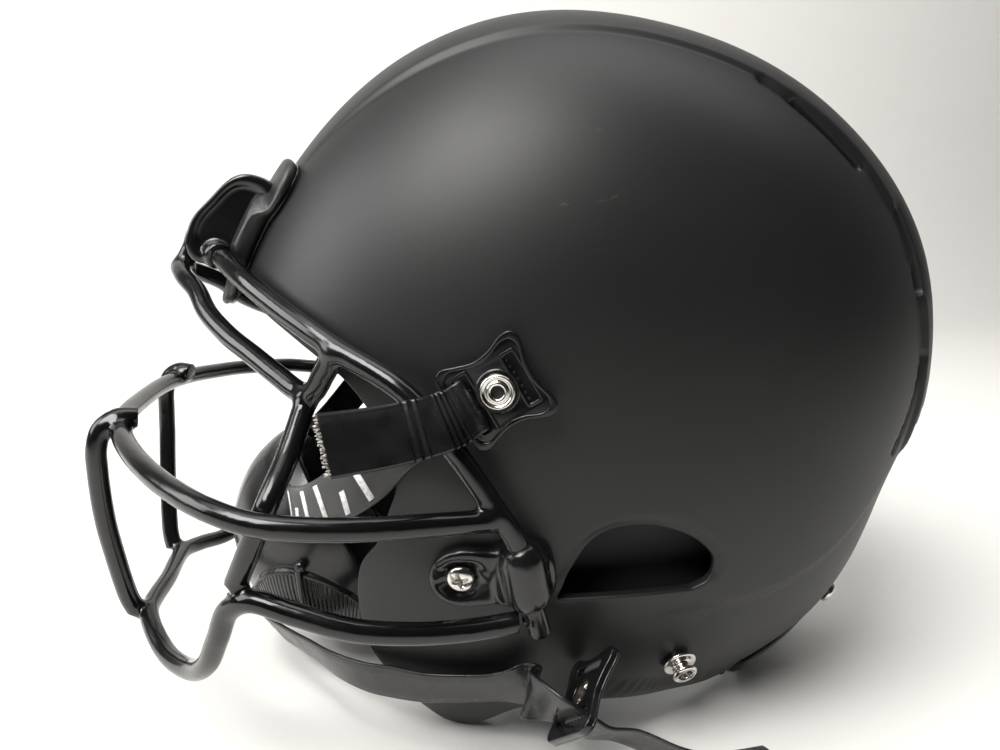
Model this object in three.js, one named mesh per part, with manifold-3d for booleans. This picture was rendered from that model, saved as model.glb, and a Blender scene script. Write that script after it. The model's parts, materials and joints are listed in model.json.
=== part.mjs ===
// American football helmet: hard shell, welded wire face guard, rubber bumpers, liner pads and a
// chin strap that swings on its two upper snaps. Millimetres, +Z up, the face looks along -Y, the
// wearer's left is +X, and the helmet stands on z = 0 as it would on a table.
import * as THREE from 'three';
import { mergeVertices } from 'three/addons/utils/BufferGeometryUtils.js';
import Module from 'manifold-3d';

const wasm = await Module();
wasm.setup();

// Shell: a closed egg around CENTRE. PROFILE_RADII runs round the side view in 30 degree steps,
// from the back over the crown, the brow and the jaw to the neck.
const CENTRE = new THREE.Vector3(0, 58, 145);
const HALF_WIDTH = 118;
const FULLNESS = 2.4;
const PROFILE_RADII = [118, 123, 128, 139, 159, 174, 188, 199, 197, 163, 143, 120];
const WALL = 4;
const BAND_RISE = 2;
const SKIRT_STEP = 2;
const GAP = 0.35;

// Face guard wire and the webbing of the chin strap
const WIRE_RADIUS = 3.9;
const WIRE_SIDES = 8;
const STRAP_WIDTH = 19;
const STRAP_THICKNESS = 1.6;

// Snap studs and screws, in the side view (y, z), and the tilt of the upper buckles
const UPPER_STUD = [-24, 151];
const LOWER_STUD = [48, 38];
const SIDE_SCREW = [-36, 84];
const REAR_SCREW = [135, 39];
const BUCKLE_TILT = THREE.MathUtils.degToRad(30);

const V3 = (x, y, z) => new THREE.Vector3(x, y, z);
const mirrored = ([x, y, z]) => [-x, y, z];
const helmet = new THREE.Group();

// ---------------------------------------------------------------- materials

function plastic(color, roughness, metalness = 0) {
  return new THREE.MeshStandardMaterial({ color, roughness, metalness });
}

const MATTE_SHELL = plastic(0x1d1e20, 0.6);
const GLOSS_BLACK = plastic(0x0c0c0e, 0.2);
const RUBBER = plastic(0x17181a, 0.7);
const COATED_WIRE = plastic(0x0e0f11, 0.25, 0.2);
const NICKEL = plastic(0xc8c6c2, 0.25, 1);
const WEBBING = plastic(0x131416, 0.55);
const PAD_COVER = plastic(0x26282b, 0.8);

// ---------------------------------------------------------------- solids

function toSolid(geometry) {
  const bare = geometry.index ? geometry.toNonIndexed() : geometry.clone();
  for (const name of Object.keys(bare.attributes)) {
    if (name !== 'position') bare.deleteAttribute(name);
  }
  const merged = mergeVertices(bare, 1e-3);
  return new wasm.Manifold(new wasm.Mesh({
    numProp: 3,
    vertProperties: new Float32Array(merged.attributes.position.array),
    triVerts: new Uint32Array(merged.index.array),
  }));
}

function toGeometry(solid) {
  const mesh = solid.getMesh();
  const geometry = new THREE.BufferGeometry();
  geometry.setAttribute('position', new THREE.BufferAttribute(mesh.vertProperties, 3));
  geometry.setIndex(new THREE.BufferAttribute(mesh.triVerts, 1));
  return geometry;
}

// The largest body of a solid that trimming may have split
function largestBody(solid) {
  const bodies = solid.decompose();
  return bodies.reduce((best, body) => (body.volume() > best.volume() ? body : best));
}

function trimmed(solid, tools) {
  return tools.reduce((rest, tool) => rest.subtract(tool), solid);
}

function add(name, solid, material) {
  const geometry = solid.isBufferGeometry ? solid : toGeometry(largestBody(solid));
  const mesh = new THREE.Mesh(geometry, material);
  mesh.name = name;
  helmet.add(mesh);
  return mesh;
}

function mirrorSolid(solid) {
  return solid.mirror([1, 0, 0]);
}

function addPair(name, solid, material) {
  add(`${name}_left`, solid, material);
  add(`${name}_right`, mirrorSolid(solid), material);
}

function outline(points) {
  return new THREE.Shape(points.map(([u, v]) => new THREE.Vector2(u, v)));
}

// A smooth closed outline through a few points
function roundedOutline(points, count = 28) {
  const loop = new THREE.CatmullRomCurve3(points.map(([u, v]) => V3(u, v, 0)), true, 'centripetal');
  return outline(loop.getPoints(count).slice(0, -1).map((p) => [p.x, p.y]));
}

function prism(shape, depth, basis, origin) {
  const geometry = new THREE.ExtrudeGeometry(shape, { depth, bevelEnabled: false });
  geometry.translate(0, 0, -depth / 2);
  geometry.applyMatrix4(basis);
  geometry.translate(origin.x, origin.y, origin.z);
  return toSolid(geometry);
}

// Side-view outline (y, z) run across the helmet
function acrossX(shape, low = -260, high = 260) {
  const basis = new THREE.Matrix4().makeBasis(V3(0, 1, 0), V3(0, 0, 1), V3(1, 0, 0));
  return prism(shape, high - low, basis, V3((low + high) / 2, 0, 0));
}

// Front-view outline (x, z) run along the helmet
function alongY(shape, low, high) {
  const basis = new THREE.Matrix4().makeBasis(V3(1, 0, 0), V3(0, 0, 1), V3(0, -1, 0));
  return prism(shape, high - low, basis, V3(0, (low + high) / 2, 0));
}

// ---------------------------------------------------------------- shell surface

function profileRadius(angle) {
  const turns = THREE.MathUtils.euclideanModulo(angle / (2 * Math.PI), 1) * PROFILE_RADII.length;
  const index = Math.floor(turns);
  const f = turns - index;
  const at = (step) => PROFILE_RADII[(index + step + PROFILE_RADII.length) % PROFILE_RADII.length];
  const [p0, p1, p2, p3] = [at(-1), at(0), at(1), at(2)];
  return 0.5 * (2 * p1 + (p2 - p0) * f + (2 * p0 - 5 * p1 + 4 * p2 - p3) * f * f
    + (3 * p1 - p0 - 3 * p2 + p3) * f ** 3);
}

// Raised band over the crown: its half angle widens towards the back
function bandHeight(direction, angle) {
  const degrees = THREE.MathUtils.radToDeg(angle);
  const halfAngle = Math.min(46, 14 + 0.27 * (150 - degrees));
  const aside = THREE.MathUtils.radToDeg(Math.asin(Math.abs(direction.x)));
  const { smoothstep } = THREE.MathUtils;
  const ends = smoothstep(degrees, -35, -5) * (1 - smoothstep(degrees, 130, 155));
  return BAND_RISE * ends * (1 - smoothstep(aside, halfAngle - 1, halfAngle + 1));
}

// The skirt below the ear line steps in towards the neck
function skirtDepth(y, z) {
  const line = 67 + 50 * (Math.max(0, y - 60) / 80) ** 2;
  const back = THREE.MathUtils.smoothstep(y, 25, 60);
  return SKIRT_STEP * back * (1 - THREE.MathUtils.smoothstep(z, line - 4, line));
}

function shellRadius(direction, offset) {
  const angle = Math.atan2(direction.z, direction.y);
  const across = Math.abs(direction.x) / (HALF_WIDTH + offset);
  const round = Math.hypot(direction.y, direction.z) / (profileRadius(angle) + offset);
  const radius = (across ** FULLNESS + round ** FULLNESS) ** (-1 / FULLNESS);
  const y = CENTRE.y + radius * direction.y;
  const z = CENTRE.z + radius * direction.z;
  return radius + bandHeight(direction, angle) - skirtDepth(y, z);
}

function shellSolid(offset, around = 48, across = 16) {
  const geometry = new THREE.SphereGeometry(1, around, across);
  geometry.rotateZ(-Math.PI / 2);
  const place = geometry.attributes.position;
  for (let i = 0; i < place.count; i++) {
    const direction = V3(0, 0, 0).fromBufferAttribute(place, i).normalize();
    const point = direction.clone().multiplyScalar(shellRadius(direction, offset)).add(CENTRE);
    place.setXYZ(i, point.x, point.y, point.z);
  }
  return toSolid(geometry);
}

// Point of the left shell surface at a side-view place, and its outward normal
function onShell(y, z, offset = 0) {
  let low = 0;
  let high = HALF_WIDTH + offset;
  for (let i = 0; i < 40; i++) {
    const x = (low + high) / 2;
    const ray = V3(x, y, z).sub(CENTRE);
    const inside = ray.length() < shellRadius(ray.clone().normalize(), offset);
    if (inside) low = x;
    else high = x;
  }
  return V3(low, y, z);
}

function shellNormal(y, z) {
  const alongYAxis = onShell(y + 3, z).sub(onShell(y - 3, z));
  const alongZAxis = onShell(y, z + 3).sub(onShell(y, z - 3));
  return alongYAxis.cross(alongZAxis).normalize();
}

// Frame on the left shell wall: u leans down to the front, v across it, n outwards
function wallFrame(y, z, tilt) {
  const n = shellNormal(y, z);
  const forward = V3(0, -Math.cos(tilt), -Math.sin(tilt));
  const u = forward.sub(n.clone().multiplyScalar(forward.dot(n))).normalize();
  const v = n.clone().cross(u);
  return new THREE.Matrix4().makeBasis(u, v, n).setPosition(onShell(y, z));
}

function placed(geometry, matrix) {
  return toSolid(geometry.applyMatrix4(matrix));
}

// ---------------------------------------------------------------- shell

// Side view of the face opening and of everything below the rim
const OPENING_EDGE = [
  [-260, 183], [-122, 181], [-102, 170], [-87, 160], [-75, 151], [-66, 139], [-60, 124], [-59, 114],
  [-62, 104], [-66, 92], [-72, 83], [-74, 71], [-73, 56], [-70, 41], [-62, 27], [-53, 14], [-45, 5],
  [-38, 0], [-30, 0], [-22, 9], [-13, 17], [3, 22], [21, 22], [42, 18], [64, 12], [84, 6.5],
];
const REAR_RIM = [[94, 4.6], [106, 4.6], [116, 11], [127, 22], [142, 38], [210, 66]];
const EAR_HOLE = [
  [-3, 73], [2, 85], [8, 95], [15, 99.5], [25, 101], [36, 99], [47, 93.5], [54, 85.5], [53, 78], [47, 74.5],
];
// Vent slots beside the raised band: both ends in the side view
const VENTS = [[[92, 246], [113, 226]], [[131, 206], [139, 181]]];
const VENT_WIDTH = 5;

function slotCutter([startY, startZ], [endY, endZ], width) {
  const start = onShell(startY, startZ);
  const end = onShell(endY, endZ);
  const u = end.clone().sub(start).normalize();
  const n = shellNormal((startY + endY) / 2, (startZ + endZ) / 2);
  const v = n.clone().cross(u).normalize();
  const half = start.distanceTo(end) / 2;
  const shape = new THREE.Shape();
  shape.absarc(half, 0, width / 2, -Math.PI / 2, Math.PI / 2);
  shape.absarc(-half, 0, width / 2, Math.PI / 2, 1.5 * Math.PI);
  const geometry = new THREE.ExtrudeGeometry(shape, { depth: 30, bevelEnabled: false, curveSegments: 3 });
  geometry.translate(0, 0, -18);
  const basis = new THREE.Matrix4().makeBasis(u, v, u.clone().cross(v));
  return placed(geometry, basis.setPosition(start.add(end).multiplyScalar(0.5)));
}

function wallHole(y, z, radius) {
  const geometry = new THREE.CylinderGeometry(radius, radius, 40, 12).rotateX(Math.PI / 2);
  return placed(geometry, wallFrame(y, z, 0));
}

const SHANK_RADIUS = 2;
const SIDE_CLIP_HEIGHT = 6;
const HOLE_RADIUS = 2.4;
const removed = acrossX(outline([...OPENING_EDGE, ...REAR_RIM, [210, -60], [-260, -60]]));

function buildShell() {
  let solid = shellSolid(0).subtract(shellSolid(-WALL)).subtract(removed);
  const cutters = [slotCutter(...VENTS[0], VENT_WIDTH), slotCutter(...VENTS[1], VENT_WIDTH),
    wallHole(...UPPER_STUD, HOLE_RADIUS), wallHole(...LOWER_STUD, HOLE_RADIUS),
    wallHole(...SIDE_SCREW, HOLE_RADIUS), wallHole(...REAR_SCREW, HOLE_RADIUS)];
  for (const cutter of cutters) solid = solid.subtract(cutter).subtract(mirrorSolid(cutter));
  return solid.subtract(acrossX(outline(EAR_HOLE)));
}

// ---------------------------------------------------------------- bumpers

const FRONT_BUMPER = [
  [-36, 172], [36, 172], [36, 206], [45, 212], [49, 222], [45, 231], [34, 236], [0, 238],
  [-34, 236], [-45, 231], [-49, 222], [-45, 212], [-36, 206],
];
const REAR_BUMPER = [
  [-60, -5], [60, -5], [66, 8], [60, 24], [38, 50], [26, 78], [18, 88], [-18, 88], [-26, 78], [-38, 50],
  [-60, 24], [-66, 8],
];
const BUMPER_THICKNESS = 4.5;
const LIP = 4.2;

function buildFrontBumper() {
  const skin = shellSolid(BUMPER_THICKNESS).subtract(shellSolid(GAP));
  return skin.intersect(alongY(outline(FRONT_BUMPER), -200, 20));
}

function buildRearBumper() {
  const dropped = (amount) => REAR_RIM.map(([y, z]) => [y, z - amount]);
  const below = outline([...dropped(GAP), ...dropped(LIP + GAP).reverse()]);
  const above = outline([...dropped(LIP + GAP), [210, 200], [94, 200]]);
  const skin = shellSolid(BUMPER_THICKNESS - 1).subtract(shellSolid(GAP)).intersect(acrossX(above));
  const lip = shellSolid(BUMPER_THICKNESS - 1).subtract(shellSolid(-WALL - 3)).intersect(acrossX(below));
  const hole = wallHole(...REAR_SCREW, HOLE_RADIUS);
  const bumper = skin.add(lip).intersect(alongY(outline(REAR_BUMPER), 80, 220));
  return trimmed(bumper, [hole, mirrorSolid(hole)]);
}

// ---------------------------------------------------------------- face guard

// Half paths of the wires, from the middle plane to the left side
const BROW_BAR = [
  [0, -140, 198], [25, -131, 196], [45, -121, 190], [63, -110, 183], [78, -98, 175.5], [90, -87, 169],
  [98, -77, 163], [111.5, -56, 151], [119, -41, 134], [121, -29, 116], [120, -19, 99], [118, -15, 82],
  [115, -10, 64],
];
const EYE_BAR = [
  [0, -147, 185], [14, -143, 182], [26, -136, 177], [38, -130, 169.5], [52, -120, 162], [65, -109, 156],
  [77, -99, 150.5], [86, -91, 146.5], [92, -86, 147.5], [95, -82, 154], [98, -78, 161],
];
const CAGE_BAR = [
  [0, -168, 127], [35, -166, 127], [58, -160, 126], [76, -152, 124.5], [92, -143, 123], [106, -133, 121],
  [122, -118, 118.5], [130, -103, 115.5], [132, -86, 113.5], [131, -66, 112], [128, -48, 111],
  [122, -29, 109],
];
const JAW_BAR = [
  [0, -164, 41], [31, -164, 41], [45, -159, 39], [62, -149, 36], [80, -136, 39.5], [94, -127, 50],
  [103, -121, 64], [110, -115, 78], [115, -107, 83], [120, -92, 79.5], [123, -75, 74.5], [123, -56, 71.5],
  [121, -36, 70], [119, -19, 70.5],
];
const SIDE_POST = [[90, -89, 143], [104, -94, 129], [117, -100, 116], [116, -106, 102], [111, -112, 88]];
const FRONT_BAR = [
  [47, -158, 132], [50, -166, 134], [52, -171, 129], [52, -171.5, 118], [51, -172, 104], [47, -172.3, 90],
  [43, -172, 77], [39, -171.5, 62], [35, -170.5, 49], [33, -169, 43],
];
const CENTRE_POST = [[0, -147, 185], [0, -140, 198]];

function wholePath(half) {
  return [...half.map(mirrored).reverse(), ...half.slice(1)];
}

function wire(points, radius = WIRE_RADIUS) {
  const ring = [];
  for (let i = 0; i < WIRE_SIDES; i++) {
    const angle = ((i + 0.5) * 2 * Math.PI) / WIRE_SIDES;
    ring.push([radius * Math.cos(angle), radius * Math.sin(angle)]);
  }
  const path = new THREE.CatmullRomCurve3(points.map((p) => V3(...p)), false, 'centripetal');
  const steps = Math.max(3, Math.round(path.getLength() / 9));
  return toSolid(new THREE.ExtrudeGeometry(outline(ring), { steps, extrudePath: path, bevelEnabled: false }));
}

const fatWire = (points) => wire(points, WIRE_RADIUS + GAP);

function buildFaceGuard() {
  const brow = wholePath(BROW_BAR);
  const eye = wholePath(EYE_BAR);
  const cage = wholePath(CAGE_BAR);
  const jaw = wholePath(JAW_BAR);
  const long = [brow, eye, cage, jaw].map(fatWire);
  add('brow_bar', wire(brow), COATED_WIRE);
  add('eye_bar', trimmed(wire(eye), [long[0]]), COATED_WIRE);
  add('cage_bar', trimmed(wire(cage), [long[0]]), COATED_WIRE);
  add('jaw_bar', trimmed(wire(jaw), [long[0]]), COATED_WIRE);
  add('centre_post', trimmed(wire(CENTRE_POST), [long[0], long[1]]), COATED_WIRE);
  addPair('side_post', trimmed(wire(SIDE_POST), long), COATED_WIRE);
  addPair('front_bar', trimmed(wire(FRONT_BAR), long), COATED_WIRE);
}

// ---------------------------------------------------------------- fasteners

function turned(profile, sides = 14) {
  const geometry = new THREE.LatheGeometry(profile.map(([r, z]) => new THREE.Vector2(r, z)), sides);
  return geometry.rotateX(Math.PI / 2);
}

const HEAD_RADIUS = 4.8;
const HEAD_HEIGHT = 3;
const SHANK_END = -11;
const NUT_CLEARANCE = 1.9;
const NUT_RADIUS = 4;
const NUT_HEIGHT = 3;
const WASHER_RADIUS = 8;
const WASHER_THICKNESS = 1.4;
const STUD_FLANGE_RADIUS = 6.5;
const STUD_WAIST_RADIUS = 3;
const STUD_RIM_RADIUS = 4.2;
const STUD_HEIGHT = 6;

// Dome-head screw through the wall, its head seated at the given height
function wallScrew(y, z, seat) {
  const profile = [[0, SHANK_END], [SHANK_RADIUS, SHANK_END], [SHANK_RADIUS, seat], [HEAD_RADIUS, seat],
    [HEAD_RADIUS, seat + HEAD_HEIGHT / 3], [0.7 * HEAD_RADIUS, seat + 0.8 * HEAD_HEIGHT],
    [0, seat + HEAD_HEIGHT]];
  return placed(turned(profile), wallFrame(y, z, 0));
}

// Washer nut behind the wall
function wallNut(y, z) {
  const top = -WALL - NUT_CLEARANCE;
  const washerEnd = top - WASHER_THICKNESS;
  const profile = [[HOLE_RADIUS, top], [HOLE_RADIUS, top - NUT_HEIGHT], [NUT_RADIUS, top - NUT_HEIGHT],
    [NUT_RADIUS, washerEnd], [WASHER_RADIUS, washerEnd], [WASHER_RADIUS, top], [HOLE_RADIUS, top]];
  return placed(turned(profile), wallFrame(y, z, 0));
}

// Snap stud: base flange, waist and ball rim, with its rivet through the wall
function wallStud(y, z) {
  const base = GAP + 0.1;
  const top = base + STUD_HEIGHT;
  const profile = [[0, -WALL - 2], [SHANK_RADIUS, -WALL - 2], [SHANK_RADIUS, base],
    [STUD_FLANGE_RADIUS, base], [STUD_FLANGE_RADIUS, base + 1], [STUD_WAIST_RADIUS, base + 1.6],
    [STUD_WAIST_RADIUS, top - 2.4], [STUD_RIM_RADIUS, top - 1.6], [0.9 * STUD_RIM_RADIUS, top], [0, top]];
  return placed(turned(profile), wallFrame(y, z, 0));
}

function buildFasteners() {
  addPair('upper_snap_stud', wallStud(...UPPER_STUD), NICKEL);
  addPair('lower_snap_stud', wallStud(...LOWER_STUD), NICKEL);
  addPair('side_clip_screw', wallScrew(...SIDE_SCREW, SIDE_CLIP_HEIGHT + 0.6), NICKEL);
  addPair('side_clip_nut', wallNut(...SIDE_SCREW), NICKEL);
  addPair('rear_bumper_screw', wallScrew(...REAR_SCREW, BUMPER_THICKNESS + 0.4), NICKEL);
  addPair('rear_bumper_nut', wallNut(...REAR_SCREW), NICKEL);
}

// ---------------------------------------------------------------- clips

const SIDE_CLIP = [
  [-47, 84], [-44, 92], [-36, 95.5], [-26, 95], [-20, 98], [-10, 97], [-4, 90], [-5, 76], [-12, 71],
  [-20, 77], [-28, 77], [-36, 73], [-44, 76],
];
const CLIP_LOOP = [
  [-25, 78], [-25, 96], [-18, 98.5], [-9, 97], [-5, 90], [-6, 79], [-12, 75.5], [-20, 75.5],
];
const TOP_CLIP = [
  [-136, 198], [-132, 207], [-118, 222], [-112, 223], [-100, 218], [-100, 196], [-116, 192], [-128, 188.5],
  [-134, 190],
];
const CLIP_LOOP_X = [104, 124.5];
const TOP_CLIP_X = 33;
const TOP_CLIP_WIDTH = 15;

function buildSideClips(browWire) {
  const skin = shellSolid(SIDE_CLIP_HEIGHT).subtract(shellSolid(GAP));
  const plate = skin.intersect(acrossX(roundedOutline(SIDE_CLIP), 60, 200));
  const loop = acrossX(outline(CLIP_LOOP), ...CLIP_LOOP_X).subtract(shellSolid(GAP));
  const hole = wallHole(...SIDE_SCREW, HOLE_RADIUS);
  const clip = trimmed(plate.add(loop), [browWire, hole]);
  addPair('side_clip', clip, GLOSS_BLACK);
}

function buildTopClips(browWire) {
  const low = TOP_CLIP_X - TOP_CLIP_WIDTH / 2;
  const block = acrossX(roundedOutline(TOP_CLIP, 24), low, low + TOP_CLIP_WIDTH);
  const clip = trimmed(block, [browWire, shellSolid(BUMPER_THICKNESS + GAP)]);
  addPair('top_clip', clip, GLOSS_BLACK);
}

// ---------------------------------------------------------------- webbing

// Flat webbing through stations, each a centre and the direction of its width
function ribbon(stations, width = STRAP_WIDTH, thickness = STRAP_THICKNESS) {
  const centres = new THREE.CatmullRomCurve3(stations.map((s) => s.at), false, 'centripetal');
  const sides = new THREE.CatmullRomCurve3(stations.map((s) => s.side), false, 'centripetal');
  const count = (stations.length - 1) * 3;
  const corners = [];
  for (let i = 0; i <= count; i++) {
    const along = centres.getTangent(i / count);
    const side = sides.getPoint(i / count);
    side.sub(along.clone().multiplyScalar(side.dot(along))).setLength(width / 2);
    const up = along.clone().cross(side).setLength(thickness / 2);
    const at = centres.getPoint(i / count);
    for (const [a, b] of [[1, 1], [-1, 1], [-1, -1], [1, -1]]) {
      corners.push(at.clone().addScaledVector(side, a).addScaledVector(up, b));
    }
  }
  return toSolid(quadTube(corners, count));
}

// Closed tube of four-cornered rings
function quadTube(corners, count) {
  const index = [];
  for (let i = 0; i < count; i++) {
    for (let k = 0; k < 4; k++) {
      const [a, b] = [4 * i + k, 4 * i + ((k + 1) % 4)];
      index.push(a, b, b + 4, a, b + 4, a + 4);
    }
  }
  const last = 4 * count;
  index.push(0, 2, 1, 0, 3, 2, last, last + 1, last + 2, last, last + 2, last + 3);
  const geometry = new THREE.BufferGeometry().setFromPoints(corners);
  geometry.setIndex(index);
  return geometry;
}

const station = (at, side) => ({ at: V3(...at), side: V3(...side) });

// ---------------------------------------------------------------- chin strap

const CUP_CENTRE = V3(0, -84, 66);
const CUP_RADII = [50, 48, 50];
const CUP_WALL = 3;
const CUP_PAD = 8;
const CUP_MOUTH = { normal: V3(0, 0.85, 0.53).normalize(), distance: 8 };

const BUCKLE_OUTLINE = [
  [-15, -13], [-13, 0], [-15, 13], [-13.5, 15], [0, 12.5], [14, 15], [16, 13], [16, -13], [14, -15],
  [0, -12.5], [-13.5, -15],
];
const BUCKLE_PLATE = 3;
const BUCKLE_LIFT = 3.4;
const FRONT_SLOT = [[6.5, 11.3], [-10.2, 10.2]];
const REAR_SLOT = [[-10.5, -7.2], [-8.5, 8.5]];
const MIDDLE_HOLE = [[-4.6, 4.6], [-4.6, 4.6]];

// Free ends: the lower buckle hangs open on its strap beside the neck rim
const LOWER_BUCKLE = V3(125, 3.3, 45);
const LOWER_BUCKLE_FORWARD = V3(0.679, -0.496, -0.543).normalize();
const LOWER_BUCKLE_ACROSS = V3(0.716, 0.277, 0.643).normalize();
const LOWER_BUCKLE_NORMAL = LOWER_BUCKLE_ACROSS.clone().cross(LOWER_BUCKLE_FORWARD).normalize();

function ellipsoid(centre, radii, around = 28, across = 14) {
  const geometry = new THREE.SphereGeometry(1, around, across);
  geometry.scale(...radii).translate(centre.x, centre.y, centre.z);
  return toSolid(geometry);
}

function cupLayer(outer, inner) {
  const outside = ellipsoid(CUP_CENTRE, CUP_RADII.map((r) => r - outer));
  const inside = ellipsoid(CUP_CENTRE, CUP_RADII.map((r) => r - inner));
  const { normal, distance } = CUP_MOUTH;
  const side = 4 * CUP_RADII[0];
  const box = new THREE.BoxGeometry(side, side, side).translate(0, 0, side / 2);
  const turn = new THREE.Quaternion().setFromUnitVectors(V3(0, 0, 1), normal);
  const mouth = CUP_CENTRE.clone().addScaledVector(normal, distance);
  const place = new THREE.Matrix4().compose(mouth, turn, V3(1, 1, 1));
  return outside.subtract(inside).subtract(placed(box, place));
}

function rectangle([[u0, u1], [v0, v1]]) {
  return [[u0, v0], [u1, v0], [u1, v1], [u0, v1]];
}

function buckleGeometry(slots = true) {
  const shape = outline(BUCKLE_OUTLINE);
  const holes = [rectangle(MIDDLE_HOLE)];
  if (slots) holes.push(rectangle(FRONT_SLOT), rectangle(REAR_SLOT));
  shape.holes = holes.map((points) => new THREE.Path(points.map(([u, v]) => new THREE.Vector2(u, v))));
  const plate = new THREE.ExtrudeGeometry(shape, { depth: BUCKLE_PLATE, bevelEnabled: false });
  return plate.translate(0, 0, BUCKLE_LIFT);
}

const SOCKET_RADIUS = 6.6;
const SOCKET_BORE = 5;
const SOCKET_EYE = 2.2;
const SOCKET_HEIGHT = 2.6;
const SOCKET_ROOF = 0.8;

// Snap socket: a cap round the stud, held in the buckle's middle
function socketGeometry() {
  const low = BUCKLE_LIFT + BUCKLE_PLATE + GAP;
  const high = low + SOCKET_HEIGHT;
  const roof = high - SOCKET_ROOF;
  return turned([[SOCKET_BORE, low], [SOCKET_RADIUS, low], [SOCKET_RADIUS, low + 1],
    [0.8 * SOCKET_RADIUS, high], [SOCKET_EYE, high], [SOCKET_EYE, roof], [SOCKET_BORE, roof],
    [SOCKET_BORE, low]]);
}

function upperStrapStations(frame) {
  const local = (u, n) => V3(u, 0, n).applyMatrix4(frame).toArray();
  const onWall = (y, z, height) => onShell(y, z).addScaledVector(shellNormal(y, z), height).toArray();
  const across = V3(0, 0, 0).setFromMatrixColumn(frame, 1).negate().toArray();
  return [
    station([44.5, -101, 89], [-0.35, -0.1, 0.93]), station([57, -98, 92.5], [-0.3, -0.2, 0.93]),
    station([72, -90, 98], [-0.2, -0.3, 0.9]), station([86, -80, 107], [-0.1, -0.35, 0.9]),
    station([98, -69, 118], [0, -0.4, 0.9]), station(onWall(-58, 130, 3.4), across),
    station(onWall(-48, 137, 2.4), across), station(local(17, 2.2), across), station(local(12, 2.2), across),
    station(local(9.6, 2.9), across), station(local(8.6, 4.9), across), station(local(9.6, 6.9), across),
    station(local(12, 7.8), across), station(local(15, 10.8), across), station([127, -46.5, 143.5], across),
    station([134, -58, 143], across), station([141.5, -69, 143.5], across),
    station([149, -79, 144.5], across),
  ];
}

// A station of the lower strap where it runs straight through the lower buckle's front slot
function inLowerBuckle(distance) {
  const slot = (FRONT_SLOT[0][0] + FRONT_SLOT[0][1]) / 2;
  const at = LOWER_BUCKLE.clone().addScaledVector(LOWER_BUCKLE_FORWARD, slot);
  at.addScaledVector(LOWER_BUCKLE_NORMAL, distance);
  return station(at.toArray(), LOWER_BUCKLE_ACROSS.toArray());
}

// Left half of the lower strap, from the cup's front past the jaw flap to its free end
const LOWER_STRAP = [
  station([0, -121, 26], [0, -0.55, 0.83]), station([22, -115, 26], [0.2, -0.5, 0.83]),
  station([38, -104, 26.5], [0.35, -0.4, 0.83]), station([52, -94, 27.5], [0.4, -0.3, 0.85]),
  station([67, -84, 29], [0.4, -0.2, 0.87]), station([79, -72, 30], [0.4, -0.1, 0.88]),
  station([86, -61, 31], [0.4, 0, 0.88]), station([92, -49, 31.5], [0.45, 0, 0.88]),
  station([98, -33, 33.5], [0.5, 0, 0.85]), station([103.5, -21, 36], [0.55, 0.05, 0.83]),
  station([112, -14, 40], [0.64, 0.15, 0.75]), station([121.5, -12.8, 44], [0.69, 0.22, 0.69]),
  inLowerBuckle(-7), inLowerBuckle(-4), inLowerBuckle(0), inLowerBuckle(5), inLowerBuckle(9),
  station([128, 18, 29.5], [0.72, 0.26, 0.64]), station([122, 37, 16.5], [0.73, 0.24, 0.62]),
  station([118, 54, 9], [0.78, 0.2, 0.55]), station([116, 69, 5.8], [0.9, 0.1, 0.35]),
  station([115, 82, 5], [0.95, 0.05, 0.28]),
];

function upperBuckle() {
  const frame = wallFrame(...UPPER_STUD, BUCKLE_TILT);
  addPair('upper_buckle', placed(buckleGeometry(), frame), GLOSS_BLACK);
  addPair('upper_snap_socket', placed(socketGeometry(), frame), NICKEL);
  addPair('upper_strap', ribbon(upperStrapStations(frame)), WEBBING);
}

function lowerBuckle(strapPassage) {
  const n = LOWER_BUCKLE_NORMAL;
  const v = n.clone().cross(LOWER_BUCKLE_FORWARD);
  const frame = new THREE.Matrix4().makeBasis(LOWER_BUCKLE_FORWARD, v, n).setPosition(LOWER_BUCKLE);
  const lowered = -BUCKLE_LIFT - BUCKLE_PLATE / 2;
  const plate = placed(buckleGeometry(false).translate(0, 0, lowered), frame);
  const ring = placed(socketGeometry().translate(0, 0, lowered), frame);
  addPair('lower_buckle', plate.subtract(strapPassage), GLOSS_BLACK);
  addPair('lower_snap_socket', ring, NICKEL);
}

function buildChinStrap() {
  add('chin_cup', cupLayer(0, CUP_WALL), GLOSS_BLACK);
  add('chin_pad', cupLayer(CUP_WALL + GAP, CUP_WALL + CUP_PAD), PAD_COVER);
  upperBuckle();
  const otherHalf = LOWER_STRAP.slice(1).reverse();
  const flipped = otherHalf.map(({ at, side }) => station(mirrored(at.toArray()), mirrored(side.toArray())));
  const whole = [...flipped, ...LOWER_STRAP];
  add('lower_strap', ribbon(whole), WEBBING);
  lowerBuckle(ribbon(whole, STRAP_WIDTH + 1.6, STRAP_THICKNESS + 3.2));
}

// ---------------------------------------------------------------- liner pads

const PAD_CLEARANCE = 1;
const NUT_RELIEF = 10;
const PADS = {
  front_pad: { thickness: 18, side: [[-110, 190], [-26, 190], [0, 262], [-60, 262]],
    face: [[-52, 180], [52, 180], [44, 262], [-44, 262]] },
  crown_pad: { thickness: 22, side: [[22, 230], [112, 230], [100, 300], [14, 300]],
    face: [[-46, 225], [46, 225], [40, 300], [-40, 300]] },
  rear_pad: { thickness: 22, side: [[110, 66], [180, 66], [180, 168], [120, 168]],
    face: [[-44, 60], [44, 60], [50, 110], [44, 170], [-44, 170], [-50, 110]] },
};
const SIDE_PADS = {
  side_pad: { thickness: 26, side: [[0, 124], [84, 124], [100, 160], [84, 214], [6, 220], [-18, 170]] },
  jaw_pad: { thickness: 16,
    side: [[-58, 36], [-50, 20], [-14, 28], [-10, 62], [-18, 96], [-52, 100], [-62, 70]] },
};

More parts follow.
